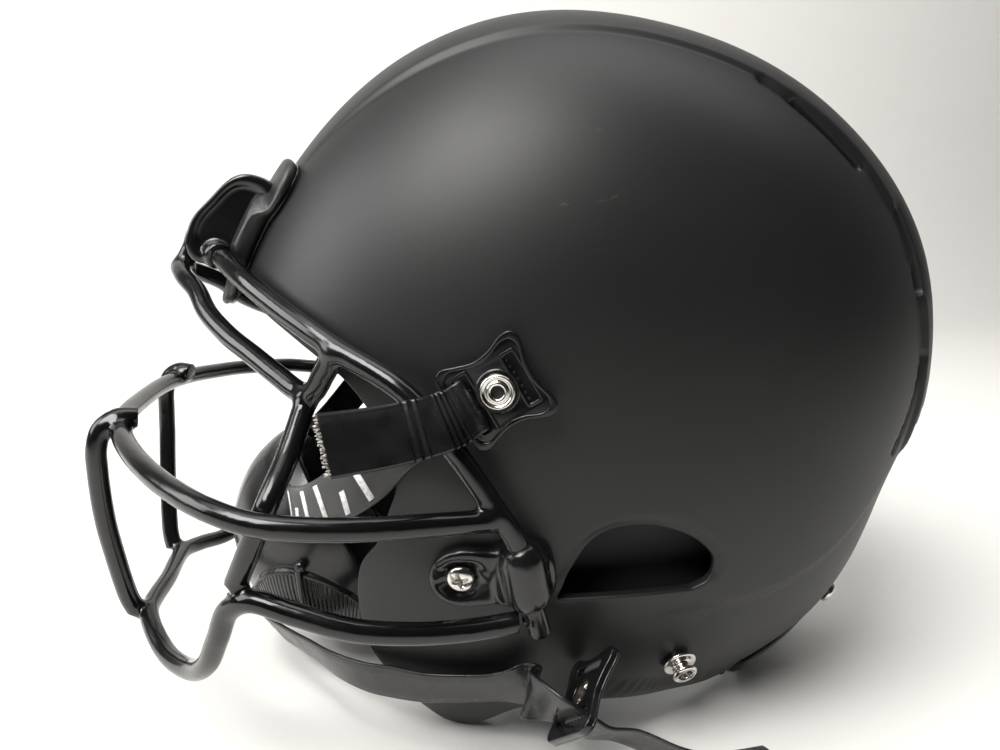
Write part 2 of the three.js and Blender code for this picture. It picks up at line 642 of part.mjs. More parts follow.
function padSkin(thickness) {
  const outer = shellSolid(-WALL - PAD_CLEARANCE - BAND_RISE, 36, 12);
  return outer.subtract(shellSolid(-WALL - PAD_CLEARANCE - BAND_RISE - thickness, 36, 12));
}

function buildPads() {
  for (const [name, { thickness, side, face }] of Object.entries(PADS)) {
    const block = acrossX(roundedOutline(side, 20)).intersect(alongY(roundedOutline(face, 20), -260, 260));
    add(name, padSkin(thickness).intersect(block), PAD_COVER);
  }
  for (const [name, { thickness, side }] of Object.entries(SIDE_PADS)) {
    const pad = padSkin(thickness).intersect(acrossX(roundedOutline(side, 20), 30, 200));
    addPair(name, pad.subtract(wallHole(...SIDE_SCREW, NUT_RELIEF)), PAD_COVER);
  }
}

// ---------------------------------------------------------------- assembly

const browFat = fatWire(wholePath(BROW_BAR));
add('shell', buildShell(), MATTE_SHELL);
add('front_bumper', buildFrontBumper(), RUBBER);
add('rear_bumper', buildRearBumper(), RUBBER);
buildFaceGuard();
buildFasteners();
buildSideClips(browFat);
buildTopClips(browFat);
buildChinStrap();
buildPads();

export default helmet;
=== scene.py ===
import json
import math

import bmesh
import bpy
import numpy as np
from mathutils import Matrix, Vector, kdtree


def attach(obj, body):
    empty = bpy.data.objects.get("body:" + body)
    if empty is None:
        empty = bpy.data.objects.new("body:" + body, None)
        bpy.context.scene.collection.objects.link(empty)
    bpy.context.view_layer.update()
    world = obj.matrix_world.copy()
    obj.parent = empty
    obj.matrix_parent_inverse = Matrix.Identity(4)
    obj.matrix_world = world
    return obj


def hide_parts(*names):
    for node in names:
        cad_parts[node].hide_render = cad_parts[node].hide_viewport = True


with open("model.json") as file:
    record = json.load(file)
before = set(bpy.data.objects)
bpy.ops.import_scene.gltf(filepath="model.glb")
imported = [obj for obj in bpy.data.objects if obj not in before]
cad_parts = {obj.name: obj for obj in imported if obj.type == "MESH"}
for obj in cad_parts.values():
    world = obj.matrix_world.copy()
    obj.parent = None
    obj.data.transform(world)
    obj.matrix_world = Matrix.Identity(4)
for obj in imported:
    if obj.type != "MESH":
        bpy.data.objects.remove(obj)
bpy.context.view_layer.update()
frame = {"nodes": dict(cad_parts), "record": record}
scene = bpy.context.scene
MM = 0.001

# Sizes in millimetres, shared with the CAD model
CENTRE = np.array([0.0, 58.0, 145.0])
HALF_WIDTH = 118.0
FULLNESS = 2.4
PROFILE_RADII = [118, 123, 128, 139, 159, 174, 188, 199, 197, 163, 143, 120]
WALL = 4.0
BAND_RISE = 2.0
SKIRT_STEP = 2.0
WIRE_RADIUS = 3.9
STRAP_WIDTH = 19.0
STRAP_THICKNESS = 1.6
RIBBON_STEPS = 10
TAIL_STATION = 12
THREADS = 46
THREAD_RADIUS = 0.26
BAR_HALF_LENGTH = 1.6
BAR_LIFT = 0.12
UPPER_STUD = (-24, 151)
LOWER_STUD = (48, 38)
SIDE_SCREW = (-36, 84)
REAR_SCREW = (135, 39)
BUCKLE_TILT = math.radians(30)
BUCKLE_LIFT = 3.4
BUCKLE_PLATE = 3.0

# ---------------------------------------------------------------- mesh helpers


def unit(v):
    v = np.asarray(v, float)
    return v / np.linalg.norm(v, axis=-1, keepdims=True)


def catmull(points, per=8, closed=False):
    """Centripetal Catmull-Rom samples through the points."""
    p = np.asarray(points, float)
    n = len(p)
    out = []
    for i in range(n if closed else n - 1):
        b, c = p[i], p[(i + 1) % n]
        a = p[(i - 1) % n] if closed or i > 0 else 2 * b - c
        d = p[(i + 2) % n] if closed or i + 2 < n else 2 * c - b
        t0, t1, t2 = (max(np.linalg.norm(v), 1e-6) ** 0.5 for v in (b - a, c - b, d - c))
        m1 = ((b - a) / t0 - (c - a) / (t0 + t1) + (c - b) / t1) * t1
        m2 = ((c - b) / t1 - (d - b) / (t1 + t2) + (d - c) / t2) * t1
        for k in range(per):
            t = k / per
            out.append(b + m1 * t + (3 * (c - b) - 2 * m1 - m2) * t * t + (2 * (b - c) + m1 + m2) * t ** 3)
    if not closed:
        out.append(p[-1])
    return np.array(out)


def smoothstep(x, low, high):
    t = np.clip((np.asarray(x, float) - low) / (high - low), 0, 1)
    return t * t * (3 - 2 * t)


def new_object(name, verts, faces):
    mesh = bpy.data.meshes.new(name)
    mesh.from_pydata(np.asarray(verts).tolist(), [], [[int(i) for i in f] for f in faces])
    obj = bpy.data.objects.new(name, mesh)
    scene.collection.objects.link(obj)
    return obj


def make(name, verts, faces, material, body, nodes=(), slot=None, sharp=None, uv=None):
    """A visible piece from millimetre vertices, riding on a body."""
    obj = new_object(name, np.asarray(verts) * MM, faces)
    mesh = obj.data
    if uv is not None:
        layer = mesh.uv_layers.new(name="UVMap")
        index = np.zeros(len(mesh.loops), np.int32)
        mesh.loops.foreach_get("vertex_index", index)
        layer.data.foreach_set("uv", np.asarray(uv, np.float32)[index].ravel())
    mesh.validate()
    mesh.polygons.foreach_set("use_smooth", [True] * len(mesh.polygons))
    if sharp is not None:
        mesh.set_sharp_from_angle(angle=math.radians(sharp))
    mesh.materials.append(material)
    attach(obj, body)
    if nodes:
        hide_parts(*nodes)
    return obj


def make_pair(name, verts, faces, material, body, node=None, **more):
    """The left piece and its mirror image. body and node take a {side} field."""
    flipped = np.asarray(verts) * np.array([-1, 1, 1])
    sides = (("left", verts, faces), ("right", flipped, [list(f)[::-1] for f in faces]))
    for side, v, f in sides:
        nodes = [node.format(side=side)] if node else []
        make(f"{name}_{side}", v, f, material, body.format(side=side), nodes, **more)


def joined(*parts):
    verts, faces, base = [], [], 0
    for v, f in parts:
        verts.append(np.asarray(v, float))
        faces += [[int(i) + base for i in face] for face in f]
        base += len(v)
    return np.vstack(verts), faces


def placed(part, matrix):
    v, f = part
    v = np.asarray(v, float)
    return v @ matrix[:3, :3].T + matrix[:3, 3], f


def basis(u, v, n, at):
    m = np.eye(4)
    m[:3, 0], m[:3, 1], m[:3, 2], m[:3, 3] = u, v, n, at
    return m


def object_mesh(obj):
    """Evaluated vertices (mm) and faces of an object whose coordinates are in millimetres."""
    graph = bpy.context.evaluated_depsgraph_get()
    mesh = bpy.data.meshes.new_from_object(obj.evaluated_get(graph))
    bm = bmesh.new()
    bm.from_mesh(mesh)
    bmesh.ops.remove_doubles(bm, verts=bm.verts, dist=1e-3)
    bmesh.ops.recalc_face_normals(bm, faces=bm.faces)
    verts = np.array([v.co for v in bm.verts])
    index = {v: i for i, v in enumerate(bm.verts)}
    faces = [[index[v] for v in f.verts] for f in bm.faces]
    bm.free()
    bpy.data.meshes.remove(mesh)
    return verts, faces


def plate(outlines, thickness, bevel, low=0.0):
    """Flat plate with rounded edges: an outline, then its holes."""
    curve = bpy.data.curves.new("plate", "CURVE")
    curve.dimensions = "2D"
    curve.fill_mode = "BOTH"
    curve.extrude = thickness / 2 - bevel
    curve.bevel_depth = bevel
    curve.bevel_resolution = 3
    curve.offset = -bevel
    for points in outlines:
        spline = curve.splines.new("POLY")
        spline.points.add(len(points) - 1)
        for target, (u, v) in zip(spline.points, points):
            target.co = (u, v, 0, 1)
        spline.use_cyclic_u = True
    obj = bpy.data.objects.new("plate", curve)
    scene.collection.objects.link(obj)
    bpy.context.view_layer.update()
    verts, faces = object_mesh(obj)
    bpy.data.objects.remove(obj)
    verts[:, 2] += low + thickness / 2
    return verts, faces


def ring_faces(rings, count, capped=False):
    """Quads between rings of vertices, with a face over each end when capped."""
    faces = []
    for i in range(rings - 1):
        for k in range(count):
            a, b = i * count + k, i * count + (k + 1) % count
            faces.append((a, b, b + count, a + count))
    if capped:
        faces.append(list(range(count))[::-1])
        faces.append([(rings - 1) * count + k for k in range(count)])
    return faces


def lathe(profile, steps=40):
    """Solid turned about Z from (radius, height) points."""
    profile = np.asarray(profile, float)
    count = len(profile)
    verts = []
    for i in range(steps):
        angle = 2 * math.pi * i / steps
        for r, z in profile:
            verts.append((r * math.cos(angle), r * math.sin(angle), z))
    faces = []
    for i in range(steps):
        a, b = i * count, ((i + 1) % steps) * count
        for k in range(count - 1):
            faces.append((a + k, b + k, b + k + 1, a + k + 1))
    return np.array(verts), faces


def tube(path, radius, sides=12):
    """Round tube along a path with closed ends."""
    path = np.asarray(path, float)
    along = unit(np.gradient(path, axis=0))
    side = unit(np.cross(along[0], [0.13, 0.2, 0.97]))
    radii = np.broadcast_to(radius, (len(path),))
    verts = []
    for at, t, r in zip(path, along, radii):
        side = unit(side - t * (side @ t))
        other = np.cross(t, side)
        for k in range(sides):
            angle = 2 * math.pi * k / sides
            verts.append(at + r * (math.cos(angle) * side + math.sin(angle) * other))
    return np.array(verts), ring_faces(len(path), sides, capped=True)


def ball(at, radius, rings=12):
    profile = [(radius * math.sin(math.pi * k / rings), -radius * math.cos(math.pi * k / rings))
               for k in range(rings + 1)]
    v, f = lathe(profile, 2 * rings)
    return v + np.asarray(at, float), f


# ---------------------------------------------------------------- shell surface


def profile_radius(angle):
    turns = np.mod(angle / (2 * math.pi), 1) * len(PROFILE_RADII)
    index = np.floor(turns).astype(int)
    f = turns - index
    radii = np.array(PROFILE_RADII, float)
    p0, p1, p2, p3 = (radii[(index + s) % len(radii)] for s in (-1, 0, 1, 2))
    return 0.5 * (2 * p1 + (p2 - p0) * f + (2 * p0 - 5 * p1 + 4 * p2 - p3) * f ** 2
                  + (3 * p1 - p0 - 3 * p2 + p3) * f ** 3)


def egg_radius(d, offset=0.0):
    angle = np.arctan2(d[:, 2], d[:, 1])
    across = np.abs(d[:, 0]) / (HALF_WIDTH + offset)
    around = np.hypot(d[:, 1], d[:, 2]) / (profile_radius(angle) + offset)
    return (across ** FULLNESS + around ** FULLNESS) ** (-1 / FULLNESS)


def band_angle(degrees):
    return np.minimum(46, 14 + 0.27 * (150 - degrees))


def band_height(d):
    degrees = np.degrees(np.arctan2(d[:, 2], d[:, 1]))
    aside = np.degrees(np.arcsin(np.clip(np.abs(d[:, 0]), 0, 1)))
    ends = smoothstep(degrees, -35, -5) * (1 - smoothstep(degrees, 128, 158))
    half = band_angle(degrees)
    return BAND_RISE * ends * (1 - smoothstep(aside, half - 0.7, half + 0.7))


def skirt_depth(y, z):
    line = 67 + 50 * (np.maximum(0, y - 60) / 80) ** 2
    return SKIRT_STEP * smoothstep(y, 25, 60) * (1 - smoothstep(z, line - 4, line))


def base_grid(around=480):
    """Closed egg as triangles, with grid lines along the band's edges."""
    theta = np.radians(np.arange(around) * 360 / around)
    degrees = np.degrees(np.arctan2(np.sin(theta), np.cos(theta)))
    half = band_angle(degrees)
    half += (band_angle(180) - half) * smoothstep(-degrees, 40, 180)
    inner = [half * k for k in np.linspace(0, 1, 24)[:-1]]
    inner = [v * (half - 1.2) / half for v in inner] + [half - 1.2]
    edge = [half + e for e in (-0.7, -0.35, 0, 0.35, 0.7)]
    outer = [half + 1.2 + (89.4 - half - 1.2) * k for k in np.linspace(0, 1, 60)]
    right = np.array(inner + edge + outer).T
    phi = np.radians(np.hstack([-right[:, :0:-1], right]))
    count = phi.shape[1]
    x, ring = np.sin(phi), np.cos(phi)
    d = np.stack([x, ring * np.cos(theta)[:, None], ring * np.sin(theta)[:, None]], 2).reshape(-1, 3)
    i, k = np.meshgrid(np.arange(around), np.arange(count - 1), indexing="ij")
    a = (i * count + k).ravel()
    b = (((i + 1) % around) * count + k).ravel()
    tris = [np.stack([a, a + 1, b + 1], 1), np.stack([a, b + 1, b], 1)]
    poles = len(d) + np.array([0, 1])
    d = np.vstack([d, [[-1, 0, 0], [1, 0, 0]]])
    i = np.arange(around)
    j = (i + 1) % around
    tris.append(np.stack([i * count, j * count, np.full(around, poles[0])], 1))
    tris.append(np.stack([j * count + count - 1, i * count + count - 1, np.full(around, poles[1])], 1))
    return d, np.vstack(tris)


def normals_of(v, t):
    cross = np.cross(v[t[:, 1]] - v[t[:, 0]], v[t[:, 2]] - v[t[:, 0]])
    n = np.zeros_like(v)
    for k in range(3):
        np.add.at(n, t[:, k], cross)
    return unit(n + 1e-12)


DIRECTIONS, BASE_TRIS = base_grid()
BASE_VERTS = CENTRE + DIRECTIONS * egg_radius(DIRECTIONS)[:, None]
BASE_NORMALS = normals_of(BASE_VERTS, BASE_TRIS)
if np.mean(np.sum(BASE_NORMALS * DIRECTIONS, 1)) < 0:
    BASE_TRIS = BASE_TRIS[:, ::-1]
    BASE_NORMALS = -BASE_NORMALS


def on_shell(y, z):
    low, high = 0.0, HALF_WIDTH
    for _ in range(40):
        x = (low + high) / 2
        ray = np.array([[x, y, z]]) - CENTRE
        length = np.linalg.norm(ray)
        if length < egg_radius(ray / length)[0]:
            low = x
        else:
            high = x
    return np.array([low, y, z])


def shell_normal(y, z):
    a = on_shell(y + 3, z) - on_shell(y - 3, z)
    b = on_shell(y, z + 3) - on_shell(y, z - 3)
    return unit(np.cross(a, b))


def wall_frame(y, z, tilt=0.0):
    n = shell_normal(y, z)
    forward = np.array([0, -math.cos(tilt), -math.sin(tilt)])
    u = unit(forward - n * (forward @ n))
    v = np.cross(n, u)
    return basis(u, v, n, on_shell(y, z))


# ---------------------------------------------------------------- skins cut from the surface


def polygon_distance(points, polygon):
    """Signed distance in the plane, positive inside the polygon."""
    p = np.asarray(points, float)
    q = np.asarray(polygon, float)
    best = np.full(len(p), 1e18)
    inside = np.zeros(len(p), bool)
    for a, b in zip(q, np.roll(q, -1, axis=0)):
        e = b - a
        w = p - a
        t = np.clip((w @ e) / max(e @ e, 1e-12), 0, 1)
        best = np.minimum(best, ((w - t[:, None] * e) ** 2).sum(1))
        if a[1] != b[1]:
            crosses = (a[1] > p[:, 1]) != (b[1] > p[:, 1])
            inside ^= crosses & (p[:, 0] < e[0] * (p[:, 1] - a[1]) / e[1] + a[0])
    return np.where(inside, 1, -1) * np.sqrt(best)


def path_distance(points, path):
    best = np.full(len(points), 1e18)
    for a, b in zip(path[:-1], path[1:]):
        e = b - a
        w = points - a
        t = np.clip((w @ e) / (e @ e), 0, 1)
        best = np.minimum(best, ((w - t[:, None] * e) ** 2).sum(1))
    return np.sqrt(best)


def clip(data, tris, s):
    """Keeps where s > 0. data holds any numbers per vertex."""
    keep = (s > 0)[tris]
    count = keep.sum(1)
    out = [tris[count == 3]]
    made, rows, extra = {}, [], []

    def cut(a, b):
        key = (a, b) if a < b else (b, a)
        if key not in made:
            t = s[key[0]] / (s[key[0]] - s[key[1]])
            made[key] = len(data) + len(rows)
            rows.append(data[key[0]] + t * (data[key[1]] - data[key[0]]))
        return made[key]

    for tri, k in zip(tris[(count == 1) | (count == 2)], keep[(count == 1) | (count == 2)]):
        odd = int(np.argmax(k)) if k.sum() == 1 else int(np.argmin(k))
        a, b, c = (int(tri[(odd + j) % 3]) for j in range(3))
        if k.sum() == 1:
            extra.append((a, cut(a, b), cut(a, c)))
        else:
            extra += [(cut(a, b), b, c), (cut(a, b), c, cut(a, c))]
    if extra:
        out.append(np.array(extra))
        data = np.vstack([data, rows])
    tris = np.vstack(out)
    used, tris = np.unique(tris, return_inverse=True)
    return data[used], tris.reshape(-1, 3)


def weld(data, tris, distance):
    """Merges boundary slivers."""
    edges = boundary(tris)
    rim = np.unique(edges)
    tree = kdtree.KDTree(len(rim))
    for i in rim:
        tree.insert(data[i, :3], int(i))
    tree.balance()
    target = np.arange(len(data))
    for i in rim:
        if target[i] != i:
            continue
        for _, j, _ in tree.find_range(data[i, :3], distance):
            if j > i and target[j] == j:
                target[j] = i
    tris = target[tris]
    good = (tris[:, 0] != tris[:, 1]) & (tris[:, 1] != tris[:, 2]) & (tris[:, 0] != tris[:, 2])
    used, tris = np.unique(tris[good], return_inverse=True)
    return data[used], tris.reshape(-1, 3)


def boundary(tris):
    edges = np.vstack([tris[:, [0, 1]], tris[:, [1, 2]], tris[:, [2, 0]]])
    keys = {}
    for a, b in edges.tolist():
        keys[(a, b)] = True
    return np.array([(a, b) for a, b in keys if (b, a) not in keys])


def skin(inside, low, high, fillet=0.8, arc=3, step=0.35):
    """Closed solid between two heights over the egg, where inside(points) > 0."""
    s = inside(BASE_VERTS) - fillet
    data, tris = clip(np.hstack([BASE_VERTS, BASE_NORMALS]), BASE_TRIS, s)
    data, tris = weld(data, tris, step)
    points, n = data[:, :3], unit(data[:, 3:])
    top = high(points) if callable(high) else np.full(len(points), float(high))
    bottom = low(points) if callable(low) else np.full(len(points), float(low))
    depth = top - bottom
    edges = boundary(tris)
    out = np.zeros_like(points)
    along = unit(points[edges[:, 1]] - points[edges[:, 0]] + 1e-12)
    sideways = np.cross(along, n[edges[:, 0]])
    np.add.at(out, edges[:, 0], sideways)
    np.add.at(out, edges[:, 1], sideways)
    rim = np.unique(edges)
    out[rim] = unit(out[rim])
    slot_of = {int(v): k for k, v in enumerate(rim)}
    r = np.minimum(fillet, 0.45 * depth[rim])[:, None]
    levels = []
    for k in range(1, arc + 1):
        a = 0.5 * math.pi * k / arc
        levels.append((math.sin(a) * fillet, r * (1 - math.cos(a))))
    for k in range(arc, 0, -1):
        a = 0.5 * math.pi * k / arc
        levels.append((math.sin(a) * fillet, depth[rim][:, None] - r * (1 - math.cos(a))))
    upper = points + n * top[:, None]
    lower = points + n * bottom[:, None]
    verts = [upper, lower]
    total = 2 * len(points)
    starts = []
    for outward, down in levels:
        verts.append(upper[rim] + out[rim] * outward - n[rim] * down)
        starts.append(total)
        total += len(rim)
    faces = tris.tolist() + (tris[:, ::-1] + len(points)).tolist()
    for a, b in edges.tolist():
        ka, kb = slot_of[a], slot_of[b]
        ring_a = [a] + [s0 + ka for s0 in starts] + [a + len(points)]
        ring_b = [b] + [s0 + kb for s0 in starts] + [b + len(points)]
        for p, q, p2, q2 in zip(ring_a, ring_b, ring_a[1:], ring_b[1:]):
            faces.append((q, p, p2, q2))
    return np.vstack(verts), faces


# ---------------------------------------------------------------- outlines

EDGE = [
    (-260, 183), (-122, 181), (-102, 170), (-87, 160), (-75, 151), (-66, 139), (-60, 124), (-59, 114),
    (-62, 104), (-66, 92), (-72, 83), (-74, 71), (-73, 56), (-70, 41), (-62, 27), (-53, 14), (-45, 5),
    (-38, 0.4), (-30, 0.4), (-22, 9), (-13, 17), (3, 22), (21, 22), (42, 18), (64, 12), (84, 6.5),
    (94, 4.6), (106, 5.2), (116, 11), (127, 22), (142, 38), (210, 66),
]
EAR_HOLE = [(-3, 73), (2, 85), (8, 95), (15, 99.5), (25, 101), (36, 99), (47, 93.5), (54, 85.5), (53, 78),
            (47, 74.5)]
VENTS = [
    [(91, 247.5), (102, 237.5), (113.5, 225.5)],
    [(130.5, 208), (135.5, 195), (139.5, 180)],
]
THIN_VENTS = [[(79, 256), (85, 251.5), (91, 247.5)], [(144, 154), (140, 136), (132, 118.5)]]
VENT_WIDTH = 5.0

REMOVED = np.vstack([catmull(EDGE, 6), [(210, -60), (-260, -60)]])
EAR = np.vstack([catmull(EAR_HOLE, 6), [(47, 74.5)]])


def surface_path(points):
    return np.array([on_shell(y, z) for y, z in catmull(points, 5)])


VENT_PATHS = [surface_path(p) for p in VENTS]
THIN_PATHS = [surface_path(p) for p in THIN_VENTS]


def folded(points):
    return np.abs(points) * [1, 0, 0] + points * [0, 1, 1]


def shell_inside(points):
    s = np.minimum(-polygon_distance(points[:, 1:], REMOVED), -polygon_distance(points[:, 1:], EAR))
    left = folded(points)
    for path in VENT_PATHS:
        s = np.minimum(s, path_distance(left, path) - VENT_WIDTH / 2)
    return s


def shell_height(points):
    d = unit(points - CENTRE)
    left = folded(points)
    height = band_height(d) - skirt_depth(points[:, 1], points[:, 2])
    for path in THIN_PATHS:
        height -= 1.3 * (1 - smoothstep(path_distance(left, path), 0.8, 2.6))
    for path in VENT_PATHS:
        height -= 0.7 * (1 - smoothstep(path_distance(left, path), 2.4, 6.0))
    rim = -polygon_distance(points[:, 1:], REMOVED)
    rear = smoothstep(points[:, 1], -18, 6) * (1 - smoothstep(points[:, 1], 92, 108))
    height += 1.1 * rear * (1 - smoothstep(rim, 6.2, 7.6))
    flap = 1 - smoothstep(points[:, 1], -48, -40)
    height -= 0.4 * flap * (1 - smoothstep(rim, 3.0, 3.9)) * (1 - smoothstep(points[:, 2], 96, 110))
    ear = -polygon_distance(points[:, 1:], EAR)
    height -= 1.5 * (1 - smoothstep(ear, 0.5, 4.2)) * smoothstep(points[:, 2], 76, 82)
    return height


def shell_bottom(points):
    return -WALL - skirt_depth(points[:, 1], points[:, 2])


# ---------------------------------------------------------------- materials


class Nodes:
    """Small helper that builds one material's node tree."""

    def __init__(self, name, color, roughness, metallic=0.0, specular=0.5, coat=0.0, coat_roughness=0.1,
                 sheen=0.0):
        self.material = bpy.data.materials.new(name)
        self.material.use_nodes = True
        self.tree = self.material.node_tree
        self.shader = self.tree.nodes["Principled BSDF"]
        values = {"Base Color": (*color, 1), "Roughness": roughness, "Metallic": metallic,
                  "Specular IOR Level": specular, "Coat Weight": coat, "Coat Roughness": coat_roughness,
                  "Sheen Weight": sheen}
        for key, value in values.items():
            self.shader.inputs[key].default_value = value
        self.last_bump = None
        self.coords = self.node("ShaderNodeTexCoord")

    def node(self, kind, **values):
        node = self.tree.nodes.new(kind)
        for key, value in values.items():
            setattr(node, key, value)
        return node

    def link(self, a, b):
        self.tree.links.new(a, b)

    def mapping(self, space="Object", scale=(1, 1, 1), rotation=(0, 0, 0)):
        node = self.node("ShaderNodeMapping")
        node.inputs["Scale"].default_value = scale
        node.inputs["Rotation"].default_value = rotation
        self.link(self.coords.outputs[space], node.inputs["Vector"])
        return node.outputs["Vector"]

    def noise(self, scale, detail=3.0, rough=0.5, vector=None, distortion=0.0):
        node = self.node("ShaderNodeTexNoise")
        node.inputs["Scale"].default_value = scale
        node.inputs["Detail"].default_value = detail
        node.inputs["Roughness"].default_value = rough
        node.inputs["Distortion"].default_value = distortion
        self.link(vector or self.coords.outputs["Object"], node.inputs["Vector"])
        return node.outputs["Fac"]

    def voronoi(self, scale, feature="F1", vector=None):
        node = self.node("ShaderNodeTexVoronoi", feature=feature)
        node.inputs["Scale"].default_value = scale
        self.link(vector or self.coords.outputs["Object"], node.inputs["Vector"])
        return node.outputs["Distance"]

    def span(self, value, low, high, to_low=0.0, to_high=1.0):
        node = self.node("ShaderNodeMapRange")
        for key, number in zip(("From Min", "From Max", "To Min", "To Max"), (low, high, to_low, to_high)):
            node.inputs[key].default_value = number
        self.link(value, node.inputs["Value"])
        return node.outputs["Result"]

    def math(self, operation, a, b=None, clamp=False):
        node = self.node("ShaderNodeMath", operation=operation, use_clamp=clamp)
        for socket, value in zip(node.inputs, (a, b)):
            if value is None:
                continue
            if isinstance(value, (int, float)):
                socket.default_value = value
            else:
                self.link(value, socket)
        return node.outputs["Value"]

    def separate(self, vector):
        node = self.node("ShaderNodeSeparateXYZ")
        self.link(vector, node.inputs["Vector"])
        return node.outputs

    def mix_color(self, factor, a, b):
        node = self.node("ShaderNodeMix", data_type="RGBA")
        for socket, value in ((node.inputs[0], factor), (node.inputs[6], a), (node.inputs[7], b)):
            if isinstance(value, tuple):
                socket.default_value = (*value, 1)
            elif isinstance(value, (int, float)):
                socket.default_value = value
            else:
                self.link(value, socket)
        return node.outputs[2]

    def color(self, value):
        self.link(value, self.shader.inputs["Base Color"])

    def roughness(self, value):
        self.link(value, self.shader.inputs["Roughness"])

    def bump(self, height, distance, strength=1.0):
        node = self.node("ShaderNodeBump")
        node.inputs["Strength"].default_value = strength
        node.inputs["Distance"].default_value = distance
        self.link(height, node.inputs["Height"])
        if self.last_bump:
            self.link(self.last_bump, node.inputs["Normal"])
        self.last_bump = node.outputs["Normal"]
        self.link(self.last_bump, self.shader.inputs["Normal"])


def matte_shell():
    m = Nodes("matte_shell", (0.008, 0.0083, 0.0086), 0.45, specular=0.4)
    cloud = m.noise(9, 4)
    fine = m.noise(700, 2)
    scratch_vector = m.mapping("Object", (900, 60, 130), (0.5, 0.25, 0.6))
    scratch = m.span(m.noise(1.0, 4, 0.6, scratch_vector, 0.6), 0.67, 0.74)
    place = m.separate(m.coords.outputs["Object"])
    zone_y = m.math("MULTIPLY", m.math("ADD", place[1], -0.006), 26.0)
    zone_z = m.math("MULTIPLY", m.math("ADD", place[2], -0.223), 34.0)
    zone = m.math("ADD", m.math("POWER", zone_y, 2.0), m.math("POWER", zone_z, 2.0))
    zone = m.math("SUBTRACT", 1.0, zone, clamp=True)
    side = m.span(place[0], 0.06, 0.09)
    scuff = m.math("MULTIPLY", m.math("MULTIPLY", scratch, zone), side)
    dust = m.span(m.voronoi(260), 0.055, 0.02)
    dust = m.math("MULTIPLY", dust, m.span(m.noise(30, 2), 0.56, 0.66))
    light = m.math("MAXIMUM", m.math("MULTIPLY", scuff, 0.55), m.math("MULTIPLY", dust, 0.4))
    base = m.mix_color(m.span(cloud, 0.3, 0.7, 0, 0.35), (0.0072, 0.0075, 0.0077), (0.011, 0.0112, 0.0114))
    m.color(m.mix_color(light, base, (0.07, 0.07, 0.068)))
    m.roughness(m.span(m.math("ADD", m.math("MULTIPLY", cloud, 0.8), m.math("MULTIPLY", fine, 0.2)),
                       0.3, 0.7, 0.42, 0.5))
    m.bump(fine, 0.00004, 0.5)
    m.bump(m.noise(60, 2), 0.00012, 0.25)
    return m.material


def gloss_plastic(name, color=(0.006, 0.006, 0.0065), rough=0.16):
    m = Nodes(name, color, rough, specular=0.5)
    m.roughness(m.span(m.noise(45, 4), 0.3, 0.75, rough * 0.75, rough * 1.7))
    fleck = m.span(m.voronoi(420), 0.04, 0.02)
    fleck = m.math("MULTIPLY", fleck, m.span(m.noise(50, 1), 0.55, 0.62))
    m.color(m.mix_color(m.math("MULTIPLY", fleck, 0.25), color, (0.2, 0.2, 0.19)))
    m.bump(m.noise(120, 2), 0.00006, 0.35)
    return m.material


def coated_wire():
    m = Nodes("coated_wire", (0.004, 0.004, 0.0045), 0.16, specular=0.5)
    m.roughness(m.span(m.noise(70, 3), 0.3, 0.7, 0.1, 0.22))
    m.color(m.mix_color(m.span(m.noise(35, 3), 0.3, 0.7, 0, 0.6), (0.0035, 0.0035, 0.004),
                        (0.007, 0.007, 0.0075)))
    m.bump(m.noise(90, 2), 0.00025, 0.3)
    m.bump(m.noise(350, 2), 0.00004, 0.3)
    return m.material


def rubber():
    m = Nodes("bumper_rubber", (0.011, 0.011, 0.0115), 0.42, specular=0.5)
    m.color(m.mix_color(m.span(m.noise(25, 4), 0.3, 0.7, 0, 1), (0.009, 0.009, 0.0095),
                        (0.016, 0.016, 0.0165)))
    m.roughness(m.span(m.noise(60, 4), 0.3, 0.7, 0.34, 0.52))
    m.bump(m.voronoi(1400), 0.00004, 0.35)
    m.bump(m.noise(200, 3), 0.00006, 0.3)
    return m.material


def nickel():
    m = Nodes("nickel", (0.72, 0.69, 0.65), 0.2, metallic=1.0)
    m.roughness(m.span(m.noise(220, 4), 0.3, 0.7, 0.12, 0.3))
    m.color(m.mix_color(m.span(m.noise(300, 3), 0.35, 0.7), (0.74, 0.715, 0.68), (0.6, 0.57, 0.53)))
    m.bump(m.noise(500, 2, vector=m.mapping("Object", (1, 1, 6))), 0.00003, 0.3)
    return m.material


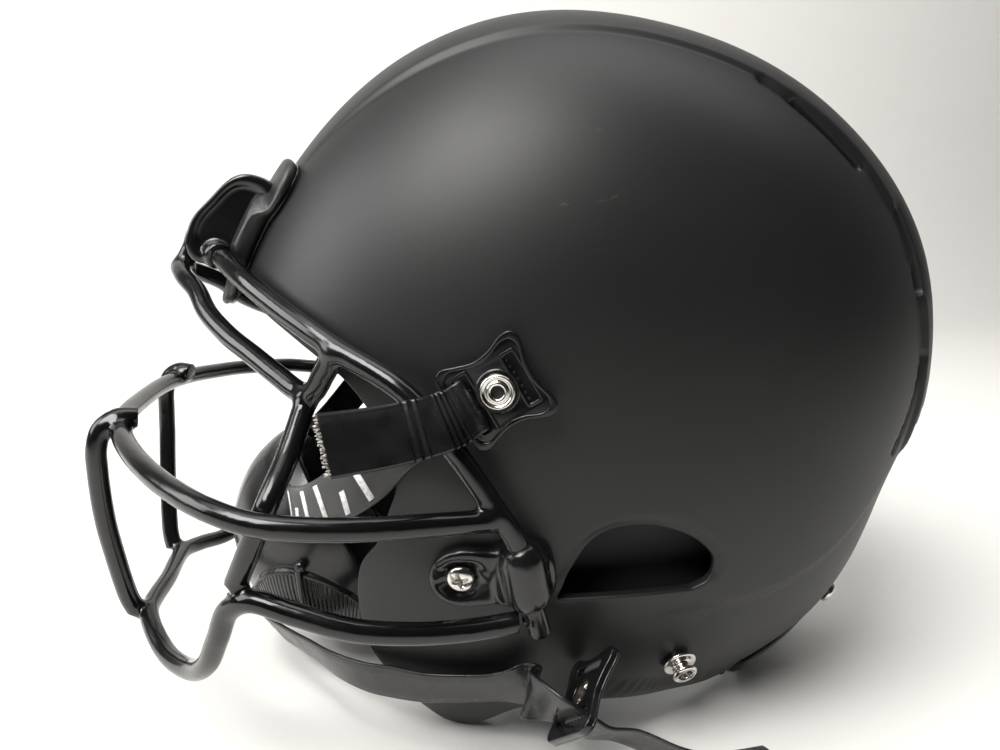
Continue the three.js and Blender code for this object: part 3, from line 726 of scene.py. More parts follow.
def webbing(name, ridges=False):
    """UV is in millimetres: u across the strap, v along it, from the buckle on a tail."""
    m = Nodes(name, (0.006, 0.006, 0.0065), 0.3, specular=0.5)
    uv = m.separate(m.coords.outputs["UV"])
    weft = m.math("SINE", m.math("MULTIPLY", uv[1], 2 * math.pi / 0.9))
    warp = m.math("SINE", m.math("MULTIPLY", uv[0], 2 * math.pi / 1.2))
    edge = m.math("ABSOLUTE", m.math("ADD", uv[0], -STRAP_WIDTH / 2))
    m.bump(m.math("MULTIPLY", m.math("MULTIPLY", weft, warp), m.span(edge, 8.2, 7.9)), 0.0001, 0.35)
    m.bump(m.span(edge, 7.9, 8.3), 0.00012, 0.5)
    m.bump(m.noise(45, 3), 0.0008, 0.3)
    worn = m.noise(60, 4)
    m.color(m.mix_color(m.span(worn, 0.35, 0.7, 0, 1), (0.005, 0.005, 0.0055), (0.012, 0.012, 0.0125)))
    m.roughness(m.span(worn, 0.3, 0.7, 0.2, 0.42))
    if ridges:
        near = m.math("MULTIPLY", m.span(uv[1], 3.5, 4.0), m.span(uv[1], 13.0, 12.5))
        fold = m.math("MULTIPLY", m.span(uv[1], 20.0, 20.6), m.span(uv[1], 26.6, 26.0))
        wave = m.math("SINE", m.math("MULTIPLY", uv[1], 2 * math.pi / 2.9))
        m.bump(m.math("MULTIPLY", wave, near), 0.0007, 0.8)
        m.bump(m.math("MULTIPLY", m.math("SINE", m.math("MULTIPLY", uv[1], 2 * math.pi / 3.3)), fold), 0.0006,
               0.8)
    return m.material


def pad_cover():
    m = Nodes("pad_cover", (0.018, 0.018, 0.02), 0.75, specular=0.35, sheen=0.3)
    knit = m.voronoi(1100)
    m.color(m.mix_color(m.span(m.noise(40, 4), 0.3, 0.7), (0.014, 0.014, 0.0155), (0.03, 0.03, 0.033)))
    m.roughness(m.span(m.noise(80, 3), 0.3, 0.7, 0.65, 0.85))
    m.bump(knit, 0.00012, 0.6)
    m.bump(m.noise(60, 3), 0.0004, 0.3)
    return m.material


def cup_plastic():
    """Gloss plastic with fine upright ribs on the cup's lower panels."""
    m = Nodes("cup_plastic", (0.006, 0.006, 0.0065), 0.2, specular=0.5)
    place = m.separate(m.coords.outputs["Object"])
    ahead = m.math("ADD", place[1], 0.084)
    azimuth = m.math("ABSOLUTE", m.math("ARCTAN2", place[0], m.math("MULTIPLY", ahead, -1.0)))
    ribs = m.math("SINE", m.math("MULTIPLY", azimuth, 170.0))
    bow = m.math("POWER", m.math("DIVIDE", m.math("SUBTRACT", azimuth, 1.2), 0.62), 2.0)
    top = m.math("SUBTRACT", 0.0625, m.math("MULTIPLY", bow, 0.019))
    inside = m.span(m.math("SUBTRACT", top, place[2]), 0.0025, 0.0032)
    sides = m.math("MULTIPLY", m.span(azimuth, 0.7, 0.72), m.span(azimuth, 1.78, 1.76))
    m.bump(m.math("MULTIPLY", ribs, m.math("MULTIPLY", inside, sides)), 0.0005, 0.8)
    m.bump(m.noise(150, 3), 0.00008, 0.3)
    m.roughness(m.span(m.noise(60, 4), 0.3, 0.7, 0.18, 0.34))
    m.color(m.mix_color(m.span(m.noise(30, 3), 0.3, 0.7), (0.005, 0.005, 0.0055), (0.011, 0.011, 0.012)))
    return m.material


def frayed():
    m = Nodes("frayed_end", (0.45, 0.43, 0.4), 0.9, sheen=0.3)
    m.color(m.mix_color(m.span(m.noise(900, 3), 0.35, 0.65), (0.16, 0.15, 0.14), (0.62, 0.6, 0.56)))
    m.bump(m.noise(1200, 3), 0.0004, 0.8)
    return m.material


def strap_print():
    m = Nodes("strap_print", (0.78, 0.78, 0.77), 0.45)
    m.color(m.mix_color(m.span(m.noise(500, 3), 0.5, 0.75), (0.8, 0.8, 0.79), (0.4, 0.4, 0.4)))
    m.bump(m.noise(700, 2), 0.00005, 0.4)
    return m.material


SHELL_MAT, GLOSS, WIRE_MAT = matte_shell(), gloss_plastic("gloss_black"), coated_wire()
RUBBER_MAT, NICKEL_MAT, WEBBING_MAT = rubber(), nickel(), webbing("webbing")
TAIL_MAT = webbing("tail_webbing", ridges=True)
PAD_MAT, CUP_MAT, FRAYED_MAT, PRINT_MAT = pad_cover(), cup_plastic(), frayed(), strap_print()
CARRIED = {
    "matte_shell": SHELL_MAT, "bumper_rubber": RUBBER_MAT, "coated_wire": WIRE_MAT, "nickel": NICKEL_MAT,
    "gloss_black": GLOSS, "webbing": WEBBING_MAT, "pad_cover": PAD_MAT,
}
SLOT_OF = {s["node"]: s["material_slot"] for s in frame["record"]["subparts"]}
for node_name, node_object in frame["nodes"].items():
    node_object.data.materials.clear()
    node_object.data.materials.append(CARRIED[SLOT_OF[node_name]])

# ---------------------------------------------------------------- shell and bumpers


def build_shell():
    v, f = skin(shell_inside, shell_bottom, shell_height, fillet=0.9)
    make("helmet_shell", v, f, SHELL_MAT, "helmet", ["shell"], "matte_shell")


def symmetric(half):
    """Closed outline from the points of its left half, which starts and ends on the middle."""
    return half + [(-x, z) for x, z in half[-2:0:-1]]


FRONT_BUMPER = symmetric([
    (0, 172), (41, 174), (43.5, 186), (44.5, 198), (45, 204), (47.5, 208), (48.5, 215), (46, 222), (39, 226),
    (28, 227.5), (0, 228.5),
])
PLATFORM = symmetric([(0, 186), (45, 190), (46, 200), (45, 208), (36, 215), (0, 217)])
REAR_BUMPER = [
    (-60, -12), (0, -16), (60, -12), (65, 8), (60, 24), (47, 39), (36, 52), (27, 72), (18, 86), (8, 89),
    (-8, 89),
    (-18, 86), (-27, 72), (-36, 52), (-47, 39), (-60, 24), (-65, 8),
]


def front_region(polygon, behind=20):
    shape = catmull(polygon, 6, closed=True)
    return lambda p: np.minimum(polygon_distance(p[:, [0, 2]], shape), behind - p[:, 1])


def build_front_bumper():
    wing = front_region(FRONT_BUMPER)
    platform = catmull(PLATFORM, 6, closed=True)

    def top(p):
        raised = smoothstep(polygon_distance(p[:, [0, 2]], platform), -0.5, 4.0)
        wings = smoothstep(p[:, 2], 209, 221) * smoothstep(np.abs(p[:, 0]), 10, 40)
        return 4.4 + 4.4 * raised + 1.2 * wings

    make("brow_bumper", *skin(wing, 1.3, top, fillet=2.2, arc=5), RUBBER_MAT, "helmet", ["front_bumper"],
         "bumper_rubber")
    gasket = [(x * 0.985, 172.5 + (z - 172) * 0.985) for x, z in FRONT_BUMPER]
    make("brow_gasket", *skin(front_region(gasket), 0.1, 1.5, fillet=0.4), GLOSS, "helmet",
         slot="gloss_black")


def build_rear_bumper():
    shape = catmull(REAR_BUMPER, 6, closed=True)

    def wrap(p):
        edge = -polygon_distance(p[:, 1:], REMOVED)
        front = polygon_distance(p[:, [0, 2]], shape)
        return np.minimum(np.minimum(front, p[:, 1] - 88), edge + 1.6)

    def top(p):
        edge = -polygon_distance(p[:, 1:], REMOVED)
        ridge = 1 - smoothstep(edge, 5.0, 9.0)
        return 3.1 + 1.0 * ridge - skirt_depth(p[:, 1], p[:, 2])

    def bottom(p):
        return 0.2 - skirt_depth(p[:, 1], p[:, 2])

    make("rear_bumper_pad", *skin(wrap, bottom, top, fillet=1.3, arc=4), RUBBER_MAT, "helmet",
         ["rear_bumper"],
         "bumper_rubber")
    lip_path = [rear_lip(x) for x in np.linspace(-62, 62, 60)]
    make("rear_bumper_lip", *tube(catmull(lip_path, 2), LIP_RADIUS, 14), RUBBER_MAT, "helmet",
         slot="bumper_rubber")


LIP_RADIUS = 2.2


def rear_lip(x):
    """Point under the rear rim at a place across the helmet."""
    rim = [on_shell(y, z) for y, z in catmull(EDGE[25:], 12)]
    best = min(rim, key=lambda p: abs(p[0] - abs(x)))
    at = best - shell_normal(best[1], best[2]) * (1.6 + skirt_depth(best[1], best[2]))
    return np.array([x, at[1], max(at[2] - 0.6, 2.7)])


# ---------------------------------------------------------------- face guard

BROW_BAR = [
    (0, -140, 198), (25, -131, 196), (45, -121, 190), (63, -110, 183), (78, -98, 175.5), (90, -87, 169),
    (98, -77, 163), (111.5, -56, 151), (119, -41, 134), (121, -29, 116), (120, -19, 99), (118, -15, 82),
    (115, -10, 64),
]
EYE_BAR = [
    (0, -147, 185), (14, -143, 182), (26, -136, 177), (38, -130, 169.5), (52, -120, 162), (65, -109, 156),
    (77, -99, 150.5), (86, -91, 146.5), (92, -86, 147.5), (95, -82, 154), (98, -78, 161),
]
CAGE_BAR = [
    (0, -168, 127), (35, -166, 127), (58, -160, 126), (76, -152, 124.5), (92, -143, 123), (106, -133, 121),
    (122, -118, 118.5), (130, -103, 115.5), (132, -86, 113.5), (131, -66, 112), (128, -48, 111),
    (122, -29, 109),
]
JAW_BAR = [
    (0, -164, 41), (31, -164, 41), (45, -159, 39), (62, -149, 36), (80, -136, 39.5), (94, -127, 50),
    (103, -121, 64), (110, -115, 78), (115, -107, 83), (120, -92, 79.5), (123, -75, 74.5), (123, -56, 71.5),
    (121, -36, 70), (119, -19, 70.5),
]
SIDE_POST = [(90, -89, 143), (104, -94, 129), (117, -100, 116), (116, -106, 102), (111, -112, 88)]
FRONT_BAR = [
    (46.5, -157.5, 130), (49, -163.5, 130.5), (51.5, -169, 127), (52.5, -171.5, 119.5), (52, -172, 110),
    (50.5, -172.2, 98), (47.5, -172.3, 86), (43.5, -172, 74), (39, -171.5, 61), (35, -170.5, 49),
    (33, -169, 43),
]
CENTRE_POST = [(0, -147, 185), (0, -140, 198)]
WELD = 3.2


def whole(half):
    return [(-x, y, z) for x, y, z in half[:0:-1]] + list(half)


def wire_paths():
    paths = [catmull(whole(b), 14) for b in (BROW_BAR, EYE_BAR, CAGE_BAR, JAW_BAR)]
    paths.append(catmull(CENTRE_POST, 14))
    for bar in (SIDE_POST, FRONT_BAR):
        left = catmull(bar, 14)
        paths += [left, left * [-1, 1, 1]]
    return paths


def nearest_on(path, points):
    """Distance to a path and the direction away from it."""
    tree = kdtree.KDTree(len(path))
    for i, p in enumerate(path):
        tree.insert(p, i)
    tree.balance()
    index = np.array([tree.find(p)[1] for p in points])
    best = np.full(len(points), 1e18)
    foot = np.zeros_like(points)
    for shift in (-1, 0):
        a = path[np.clip(index + shift, 0, len(path) - 2)]
        b = path[np.clip(index + shift, 0, len(path) - 2) + 1]
        e = b - a
        t = np.clip(((points - a) * e).sum(1) / (e * e).sum(1), 0, 1)
        at = a + t[:, None] * e
        gap = ((points - at) ** 2).sum(1)
        closer = gap < best
        best[closer] = gap[closer]
        foot[closer] = at[closer]
    distance = np.sqrt(best)
    return distance, (points - foot) / np.maximum(distance, 1e-9)[:, None]


def voxel(verts, faces, size):
    """Voxel remesh of closed parts given in millimetres."""
    obj = new_object("voxel", verts, faces)
    modifier = obj.modifiers.new("remesh", "REMESH")
    modifier.mode = "VOXEL"
    modifier.voxel_size = size
    bpy.context.view_layer.update()
    out = object_mesh(obj)
    bpy.data.objects.remove(obj)
    return out


def build_face_guard():
    paths = wire_paths()
    parts = [tube(p, WIRE_RADIUS, 12) for p in paths]
    verts, faces = voxel(*joined(*parts), 1.3)
    for _ in range(4):
        fields = [nearest_on(p, verts) for p in paths]
        distance = np.array([d for d, _ in fields])
        away = np.array([g for _, g in fields])
        order = np.argsort(distance, axis=0)
        rows = np.arange(len(verts))
        first, second = distance[order[0], rows], distance[order[1], rows]
        h = np.clip(0.5 + 0.5 * (second - first) / WELD, 0, 1)
        field = second * (1 - h) + first * h - WELD * h * (1 - h) - WIRE_RADIUS
        gradient = away[order[1], rows] * (1 - h)[:, None] + away[order[0], rows] * h[:, None]
        size = np.maximum(np.linalg.norm(gradient, axis=1), 0.3)
        verts = verts - gradient / size[:, None] * np.clip(field / size, -1.5, 1.5)[:, None]
    nodes = ["brow_bar", "eye_bar", "cage_bar", "jaw_bar", "centre_post", "side_post_left", "side_post_right",
             "front_bar_left", "front_bar_right"]
    make("face_guard", verts, faces, WIRE_MAT, "helmet", nodes, "coated_wire")


# ---------------------------------------------------------------- fasteners


def phillips_head(seat, radius=4.9):
    """Pan-head screw with a cross recess."""
    dome = [(radius, seat), (radius, seat + 0.9), (radius * 0.93, seat + 1.5), (radius * 0.75, seat + 2.1),
            (radius * 0.5, seat + 2.5), (radius * 0.25, seat + 2.7), (0.01, seat + 2.75)]
    rings = 22
    steps = 64
    profile = catmull(dome, 4)
    length = np.linspace(0, 1, rings)
    grid = np.stack([np.interp(length, np.linspace(0, 1, len(profile)), profile[:, k]) for k in (0, 1)], 1)
    v, f = lathe(grid, steps)
    arm, reach, depth = 0.75, 2.9, 1.3
    x, y = v[:, 0], v[:, 1]
    for a, b in ((x, y), (y, x)):
        wide = arm * (1.15 - 0.12 * np.abs(a))
        cut = (1 - smoothstep(np.abs(b), wide - 0.12, wide + 0.12)) * (1 - smoothstep(np.abs(a), reach - 0.2,
                                                                                      reach))
        v[:, 2] = np.minimum(v[:, 2], np.where(cut > 0, seat + 2.75 - depth * cut, 1e9))
    v[:, 2] = np.maximum(v[:, 2], seat)
    shank = lathe([(2.0, -9), (2.0, seat + 0.2)], 20)
    return joined((v, f), shank)


def build_screws():
    screws = (("side_clip_screw", SIDE_SCREW, 4.4, 0.35), ("rear_bumper_screw", REAR_SCREW, 3.6, 0.9))
    for node, (y, z), seat, turn in screws:
        head = phillips_head(seat)
        c, s = math.cos(turn), math.sin(turn)
        spin = basis((c, s, 0), (-s, c, 0), (0, 0, 1), (0, 0, 0))
        v, f = placed(placed(head, spin), wall_frame(y, z))
        make_pair(node + "_head", v, f, NICKEL_MAT, "helmet", node + "_{side}", slot="nickel", sharp=40)


STUD_FOOT = [(0.01, -5.5), (2, -5.5), (2, 0.2), (6.3, 0.2), (6.6, 0.45), (6.6, 1.0), (6.2, 1.4), (4.2, 1.7)]
STUD_PROFILE = STUD_FOOT + [
    (3.5, 2.2), (3.3, 3.0), (3.5, 3.8), (4.3, 4.3), (4.9, 4.9), (4.9, 5.5), (4.4, 6.1), (3.4, 6.3),
    (3.0, 6.1),
    (2.7, 5.2), (2.5, 3.6), (0.01, 3.4),
]
UPPER_STUD_PROFILE = STUD_FOOT + [(3.4, 2.2), (3.2, 3.0), (0.01, 3.2)]
SOCKET_PROFILE = [
    (2.1, 4.2), (2.1, 8.3), (2.35, 8.75), (2.9, 8.95), (3.4, 8.8), (3.7, 8.45), (4.3, 8.35), (4.9, 8.75),
    (5.4, 8.8), (5.8, 8.4), (6.1, 7.7), (6.2, 6.9), (6.2, 6.5), (4.6, 6.4), (4.6, 4.2),
]


def build_studs():
    for end, place, profile in (("upper", UPPER_STUD, UPPER_STUD_PROFILE),
                                ("lower", LOWER_STUD, STUD_PROFILE)):
        stud = lathe(catmull(profile, 2), 48)
        make_pair(end + "_stud", *placed(stud, wall_frame(*place)), NICKEL_MAT, "helmet",
                  end + "_snap_stud_{side}", slot="nickel", sharp=50)


# ---------------------------------------------------------------- clips

SIDE_CLIP = [
    (-47, 84), (-44, 91.5), (-36, 95.5), (-26, 95), (-19, 97.5), (-10, 97), (-4.5, 90), (-5, 77), (-12, 72),
    (-19, 74.5), (-28, 73.5), (-36, 72.5), (-44, 76),
]
CLIP_LOOP = [(-25.5, 76), (-26, 92), (-23, 97.5), (-14, 98.5), (-7, 96), (-4.5, 88), (-5.5, 77.5), (-11, 74),
             (-20, 73.5)]
TOP_CLIP = [
    (-136, 197), (-133, 206), (-126, 213.5), (-118, 221), (-112, 223), (-103, 220), (-99, 212), (-101, 199),
    (-110, 192.5), (-118, 190.5), (-128, 188.5), (-134, 190.5),
]
ACROSS = basis((0, 1, 0), (0, 0, 1), (1, 0, 0), (0, 0, 0))


def bar_sleeve(path, radius, ends):
    """Sleeve round a stretch of wire, its radius easing off towards both ends."""
    along = np.linspace(-1, 1, len(path))
    return tube(path, radius - ends * np.abs(along) ** 6, 28)


def build_side_clips():
    shape = catmull(SIDE_CLIP, 6, closed=True)
    screw = on_shell(*SIDE_SCREW)

    def inside(p):
        return np.where(p[:, 0] > 0, polygon_distance(p[:, 1:], shape), -50.0)

    def top(p):
        near = np.linalg.norm(p - screw, axis=1)
        return 6.4 - 3.0 * (1 - smoothstep(near, 6.0, 7.6))

    plate_part = skin(inside, 0.3, top, fillet=1.9, arc=5)
    loop = placed(plate([catmull(CLIP_LOOP, 4, closed=True)], 13.5, 3.0, low=103.0), ACROSS)
    bar = catmull(BROW_BAR[-5:], 16)
    held = bar[(bar[:, 2] < 97.5) & (bar[:, 2] > 75.5)]
    sleeve = bar_sleeve(held, 8.0, 1.6)
    step = bar[(bar[:, 2] < 100) & (bar[:, 2] > 94)]
    v, f = voxel(*joined(plate_part, loop, sleeve, bar_sleeve(step, 6.0, 0.8)), 0.8)
    v = relax(v, f, 5)
    make_pair("guard_clip", v, f, GLOSS, "helmet", "side_clip_{side}", slot="gloss_black")


def build_top_clips():
    outer = catmull(TOP_CLIP, 5, closed=True)
    core = placed(plate([outer], 13.6, 1.6, low=26.2), ACROSS)
    centre = outer.mean(0)
    inner = centre + (outer - centre) * 0.76
    rims = [placed(plate([outer, inner], 3.0, 1.1, low=low), ACROSS) for low in (24.8, 38.2)]
    brow = catmull(whole(BROW_BAR), 16)
    near = brow[(brow[:, 0] > 24) & (brow[:, 0] < 42.5)]
    v, f = voxel(*joined(core, *rims, bar_sleeve(near, 5.9, 0.6)), 0.7)
    make_pair("brow_clip", relax(v, f, 3), f, GLOSS, "helmet", "top_clip_{side}", slot="gloss_black")


# ---------------------------------------------------------------- webbing


def ribbon(stations):
    """Flat webbing with rounded edges. Returns verts, faces and UV in millimetres."""
    centre = catmull([s[0] for s in stations], RIBBON_STEPS)
    side = catmull([s[1] for s in stations], RIBBON_STEPS)
    along = unit(np.gradient(centre, axis=0))
    side = unit(side - along * (side * along).sum(1)[:, None])
    up = np.cross(along, side)
    length = np.concatenate([[0], np.cumsum(np.linalg.norm(np.diff(centre, axis=0), axis=1))])
    half, t = STRAP_WIDTH / 2, STRAP_THICKNESS / 2
    upper = [(-half + t, t), (-half * 0.5, t), (0, t), (half * 0.5, t), (half - t, t)]
    corner = [(half - t * 0.3, t * 0.7), (half, 0), (half - t * 0.3, -t * 0.7)]
    section = upper + corner + [(-a, -b) for a, b in upper + corner]
    verts, uv = [], []
    for i in range(len(centre)):
        for a, b in section:
            verts.append(centre[i] + side[i] * a + up[i] * b)
            uv.append((a + half, length[i]))
    faces = ring_faces(len(centre), len(section), capped=True)
    if signed_volume(np.array(verts), faces) < 0:
        faces = [f[::-1] for f in faces]
    return np.array(verts), faces, np.array(uv)


def relax(verts, faces, rounds):
    """Moves every vertex to the mean of its neighbours, several times."""
    pairs = np.array([(a, b) for f in faces for a, b in zip(f, f[1:] + f[:1])])
    pairs = np.vstack([pairs, pairs[:, ::-1]])
    count = np.bincount(pairs[:, 0], minlength=len(verts))[:, None]
    for _ in range(rounds):
        total = np.zeros_like(verts)
        np.add.at(total, pairs[:, 0], verts[pairs[:, 1]])
        verts = total / count
    return verts


def signed_volume(v, faces):
    total = 0.0
    for f in faces:
        for i in range(1, len(f) - 1):
            total += np.dot(v[f[0]], np.cross(v[f[i]], v[f[i + 1]]))
    return total


UPPER_FRAME = wall_frame(*UPPER_STUD, BUCKLE_TILT)


def upper_stations():
    across = -UPPER_FRAME[:3, 1]

    def local(u, n):
        return UPPER_FRAME[:3, :3] @ np.array([u, 0, n]) + UPPER_FRAME[:3, 3]

    def on_wall(y, z, height):
        return on_shell(y, z) + shell_normal(y, z) * height

    return [
        ((44.5, -101, 89), (-0.35, -0.1, 0.93)), ((57, -98, 92.5), (-0.3, -0.2, 0.93)),
        ((72, -90, 98), (-0.2, -0.3, 0.9)), ((86, -80, 107), (-0.1, -0.35, 0.9)),
        ((98, -69, 118), (0, -0.4, 0.9)), (on_wall(-58, 130, 3.4), across), (on_wall(-48, 137, 2.4), across),
        (local(17, 2.2), across), (local(12, 2.2), across), (local(9.6, 2.9), across),
        (local(8.6, 4.9), across),
        (local(9.6, 6.9), across), (local(12, 7.8), across), (local(15, 10.8), across),
        ((127, -46.5, 143.5), across), ((134, -58, 143), across), ((141.5, -69, 143.5), across),
        ((149, -79, 144.5), across),
    ]


def in_lower_buckle(distance):
    """Strap station where it runs straight through the lower buckle's front slot."""
    return tuple(LOWER_BUCKLE + LOWER_FORWARD * 8.9 + LOWER_NORMAL * distance), tuple(LOWER_ACROSS)


LOWER_BUCKLE = np.array([125, 3.3, 45])
LOWER_FORWARD = unit([0.679, -0.496, -0.543])
LOWER_ACROSS = unit([0.716, 0.277, 0.643])
LOWER_NORMAL = unit(np.cross(LOWER_ACROSS, LOWER_FORWARD))
LOWER_STRAP = [
    ((0, -121, 26), (0, -0.55, 0.83)), ((22, -115, 26), (0.2, -0.5, 0.83)),
    ((38, -104, 26.5), (0.35, -0.4, 0.83)),
    ((52, -94, 27.5), (0.4, -0.3, 0.85)), ((67, -84, 29), (0.4, -0.2, 0.87)),
    ((79, -72, 30), (0.4, -0.1, 0.88)),
    ((86, -61, 31), (0.4, 0, 0.88)), ((92, -49, 31.5), (0.45, 0, 0.88)), ((98, -33, 33.5), (0.5, 0, 0.85)),
    ((103.5, -21, 36), (0.55, 0.05, 0.83)), ((112, -14, 40), (0.64, 0.15, 0.75)),
    ((121.5, -12.8, 44), (0.69, 0.22, 0.69)), in_lower_buckle(-7), in_lower_buckle(-4), in_lower_buckle(0),
    in_lower_buckle(5), in_lower_buckle(9), ((128, 18, 29.5), (0.72, 0.26, 0.64)),
    ((122, 37, 16.5), (0.73, 0.24, 0.62)), ((118, 54, 9), (0.78, 0.2, 0.55)),
    ((116, 69, 5.8), (0.9, 0.1, 0.35)),
    ((115, 82, 5), (0.95, 0.05, 0.28)),
]


def fray(centre, side, along):
    """Short loose threads at a cut end."""
    rng = np.random.default_rng(7)
    parts = []
    for a in np.linspace(-8.8, 8.8, THREADS):
        start = centre + side * a + np.cross(along, side) * rng.uniform(-0.5, 0.5)
        tip = start + along * rng.uniform(0.6, 1.7) + side * rng.uniform(-0.4, 0.4)
        bend = (start + tip) / 2 + rng.uniform(-0.15, 0.15, 3)
        parts.append(tube([start - along * 0.4, bend, tip], THREAD_RADIUS, 5))
    return joined(*parts)


def build_straps():
    stations = upper_stations()
    v, f, uv = ribbon(stations)
    centre = catmull([s[0] for s in stations], RIBBON_STEPS)
    buckle = TAIL_STATION * RIBBON_STEPS
    uv[:, 1] -= np.linalg.norm(np.diff(centre[:buckle], axis=0), axis=1).sum()
    make_pair("upper_webbing", v, f, TAIL_MAT, "chin_strap", "upper_strap_{side}", slot="webbing", sharp=60,
              uv=uv)
    along = unit(centre[-1] - centre[-3])
    side = np.array(stations[-1][1], float)
    side = unit(side - along * (side @ along))
    make_pair("strap_fray", *fray(centre[-1], side, along), FRAYED_MAT, "chin_strap", slot="webbing")
    build_print(centre, stations)
    flipped = [((-p[0], p[1], p[2]), (-s[0], s[1], s[2])) for p, s in LOWER_STRAP[:0:-1]]
    stations = flipped + LOWER_STRAP
    v, f, uv = ribbon(stations)
    make("lower_webbing", v, f, WEBBING_MAT, "chin_strap", ["lower_strap"], "webbing", 60, uv)


def build_print(centre, stations):
    """Plain slanted bars printed on the strap near the cup."""
    side = catmull([s[1] for s in stations], RIBBON_STEPS)
    parts = []
    for first, (low, high) in zip((5, 11, 17, 24, 31, 38), ((-7.5, 7.5), (-7.5, 1), (-7.5, 7.5)) * 2):
        rows = []
        for k, a in enumerate((low, high)):
            i = first + k * 2
            t = unit(centre[i + 1] - centre[i])
            s = unit(side[i] - t * (side[i] @ t))
            up = np.cross(t, s)
            out = up if up[0] > 0 else -up
            at = centre[i] + s * a + out * (STRAP_THICKNESS / 2 + BAR_LIFT)
            rows.append((at - t * BAR_HALF_LENGTH, at + t * BAR_HALF_LENGTH, out))
        (a0, a1, o0), (b0, b1, o1) = rows
        v = [a0, a1, b1, b0, a0 - o0 * 0.3, a1 - o0 * 0.3, b1 - o1 * 0.3, b0 - o1 * 0.3]
        f = [(0, 1, 2, 3), (7, 6, 5, 4), (0, 4, 5, 1), (1, 5, 6, 2), (2, 6, 7, 3), (3, 7, 4, 0)]
        parts.append((np.array(v), f))
    make_pair("strap_bars", *joined(*parts), PRINT_MAT, "chin_strap", slot="webbing")


# ---------------------------------------------------------------- buckles

BUCKLE = [
    (-15, -12), (-13.3, -5), (-12.8, 0), (-13.3, 5), (-15, 12), (-13.5, 15), (-10, 15.4), (-4, 13), (2, 12.2),
    (8, 13.8), (13, 15.2), (16, 13), (16.4, 6), (16.4, -6), (16, -13), (13, -15.2), (8, -13.8), (2, -12.2),
    (-4, -13), (-10, -15.4), (-13.5, -15),
]


def rounded_rectangle(u0, u1, v0, v1, r, steps=4):
    points = []
    for cu, cv, start in ((u1 - r, v1 - r, 0), (u0 + r, v1 - r, 90), (u0 + r, v0 + r, 180),
                          (u1 - r, v0 + r, 270)):
        for k in range(steps + 1):
            a = math.radians(start + 90 * k / steps)
            points.append((cu + r * math.cos(a), cv + r * math.sin(a)))
    return points


def buckle_part():
    outer = catmull(BUCKLE, 4, closed=True)
    middle = outer.mean(0)
    inner = middle + (outer - middle) * 0.86
    hole = [(4.7 * math.cos(a), 4.7 * math.sin(a)) for a in np.linspace(0, 2 * math.pi, 32, endpoint=False)]
    front = rounded_rectangle(6.5, 11.3, -10.2, 10.2, 0.8)
    rear = rounded_rectangle(-10.6, -7.0, -8.8, 8.8, 0.8)
    base = plate([outer, hole, front, rear], 2.4, 0.5, low=BUCKLE_LIFT)
    rim = plate([outer, inner], 1.1, 0.45, low=BUCKLE_LIFT + 2.1)
    frames = []
    for u0, u1, v in ((-11.9, -5.7, 10.1), (5.4, 12.5, 11.3)):
        slot_rim = [rounded_rectangle(u0, u1, -v, v, 1.4),
                    rounded_rectangle(u0 + 1.1, u1 - 1.1, -v + 1.1, v - 1.1, 0.8)]
        frames.append(plate(slot_rim, 0.8, 0.25, low=BUCKLE_LIFT + 2.2))
    collar = lathe([(4.7, 5.2), (7.4, 5.2), (7.4, 6.2), (7.0, 6.5), (6.5, 6.5)], 40)
    teeth = []
    for k in range(7):
        v = -7.4 + k * 2.45
        for u, w in ((-7.2, -1.1), (11.4, -1.2)):
            points = [(u, v - 0.7), (u + w, v), (u, v + 0.7)]
            teeth.append(plate([points], 1.3, 0.1, low=BUCKLE_LIFT + 0.5))
    return joined(base, rim, *frames, collar, *teeth)


def build_buckles():
    part = buckle_part()
    socket = lathe(catmull(SOCKET_PROFILE, 3), 56)
    plug = lathe([(0.01, 6.4), (3.4, 6.4), (3.4, 5.6), (0.01, 5.6)], 24)
    make_pair("upper_cap_core", *placed(plug, UPPER_FRAME), PAD_MAT, "chin_strap", slot="gloss_black",
              sharp=30)
    down = -BUCKLE_LIFT - BUCKLE_PLATE / 2
    lower = basis(LOWER_FORWARD, np.cross(LOWER_NORMAL, LOWER_FORWARD), LOWER_NORMAL,
                  LOWER_BUCKLE + LOWER_NORMAL * down)
    for end, local, body in (("upper", UPPER_FRAME, "chin_strap"), ("lower", lower, "lower_buckle_{side}")):
        make_pair(end + "_clasp", *placed(part, local), GLOSS, body, end + "_buckle_{side}",
                  slot="gloss_black", sharp=35)
        make_pair(end + "_cap", *placed(socket, local), NICKEL_MAT, body, end + "_snap_socket_{side}",
                  slot="nickel", sharp=50)


# ---------------------------------------------------------------- chin cup

CUP_CENTRE = np.array([0, -84.0, 66.0])
CUP_RADII = np.array([50.0, 48, 50])
CUP_NORMAL = unit([0, 0.85, 0.53])
CUP_EDGE = 8.0
CUP_WALL = 3.0
CUP_PAD = 8.0
CUP_LIP_ANGLE = 0.02
CUP_LIP_BULGE = 0.025
POST_AZIMUTH = 1.28
POST_RADIUS = 1.5
KNOB_RADIUS = 2.6


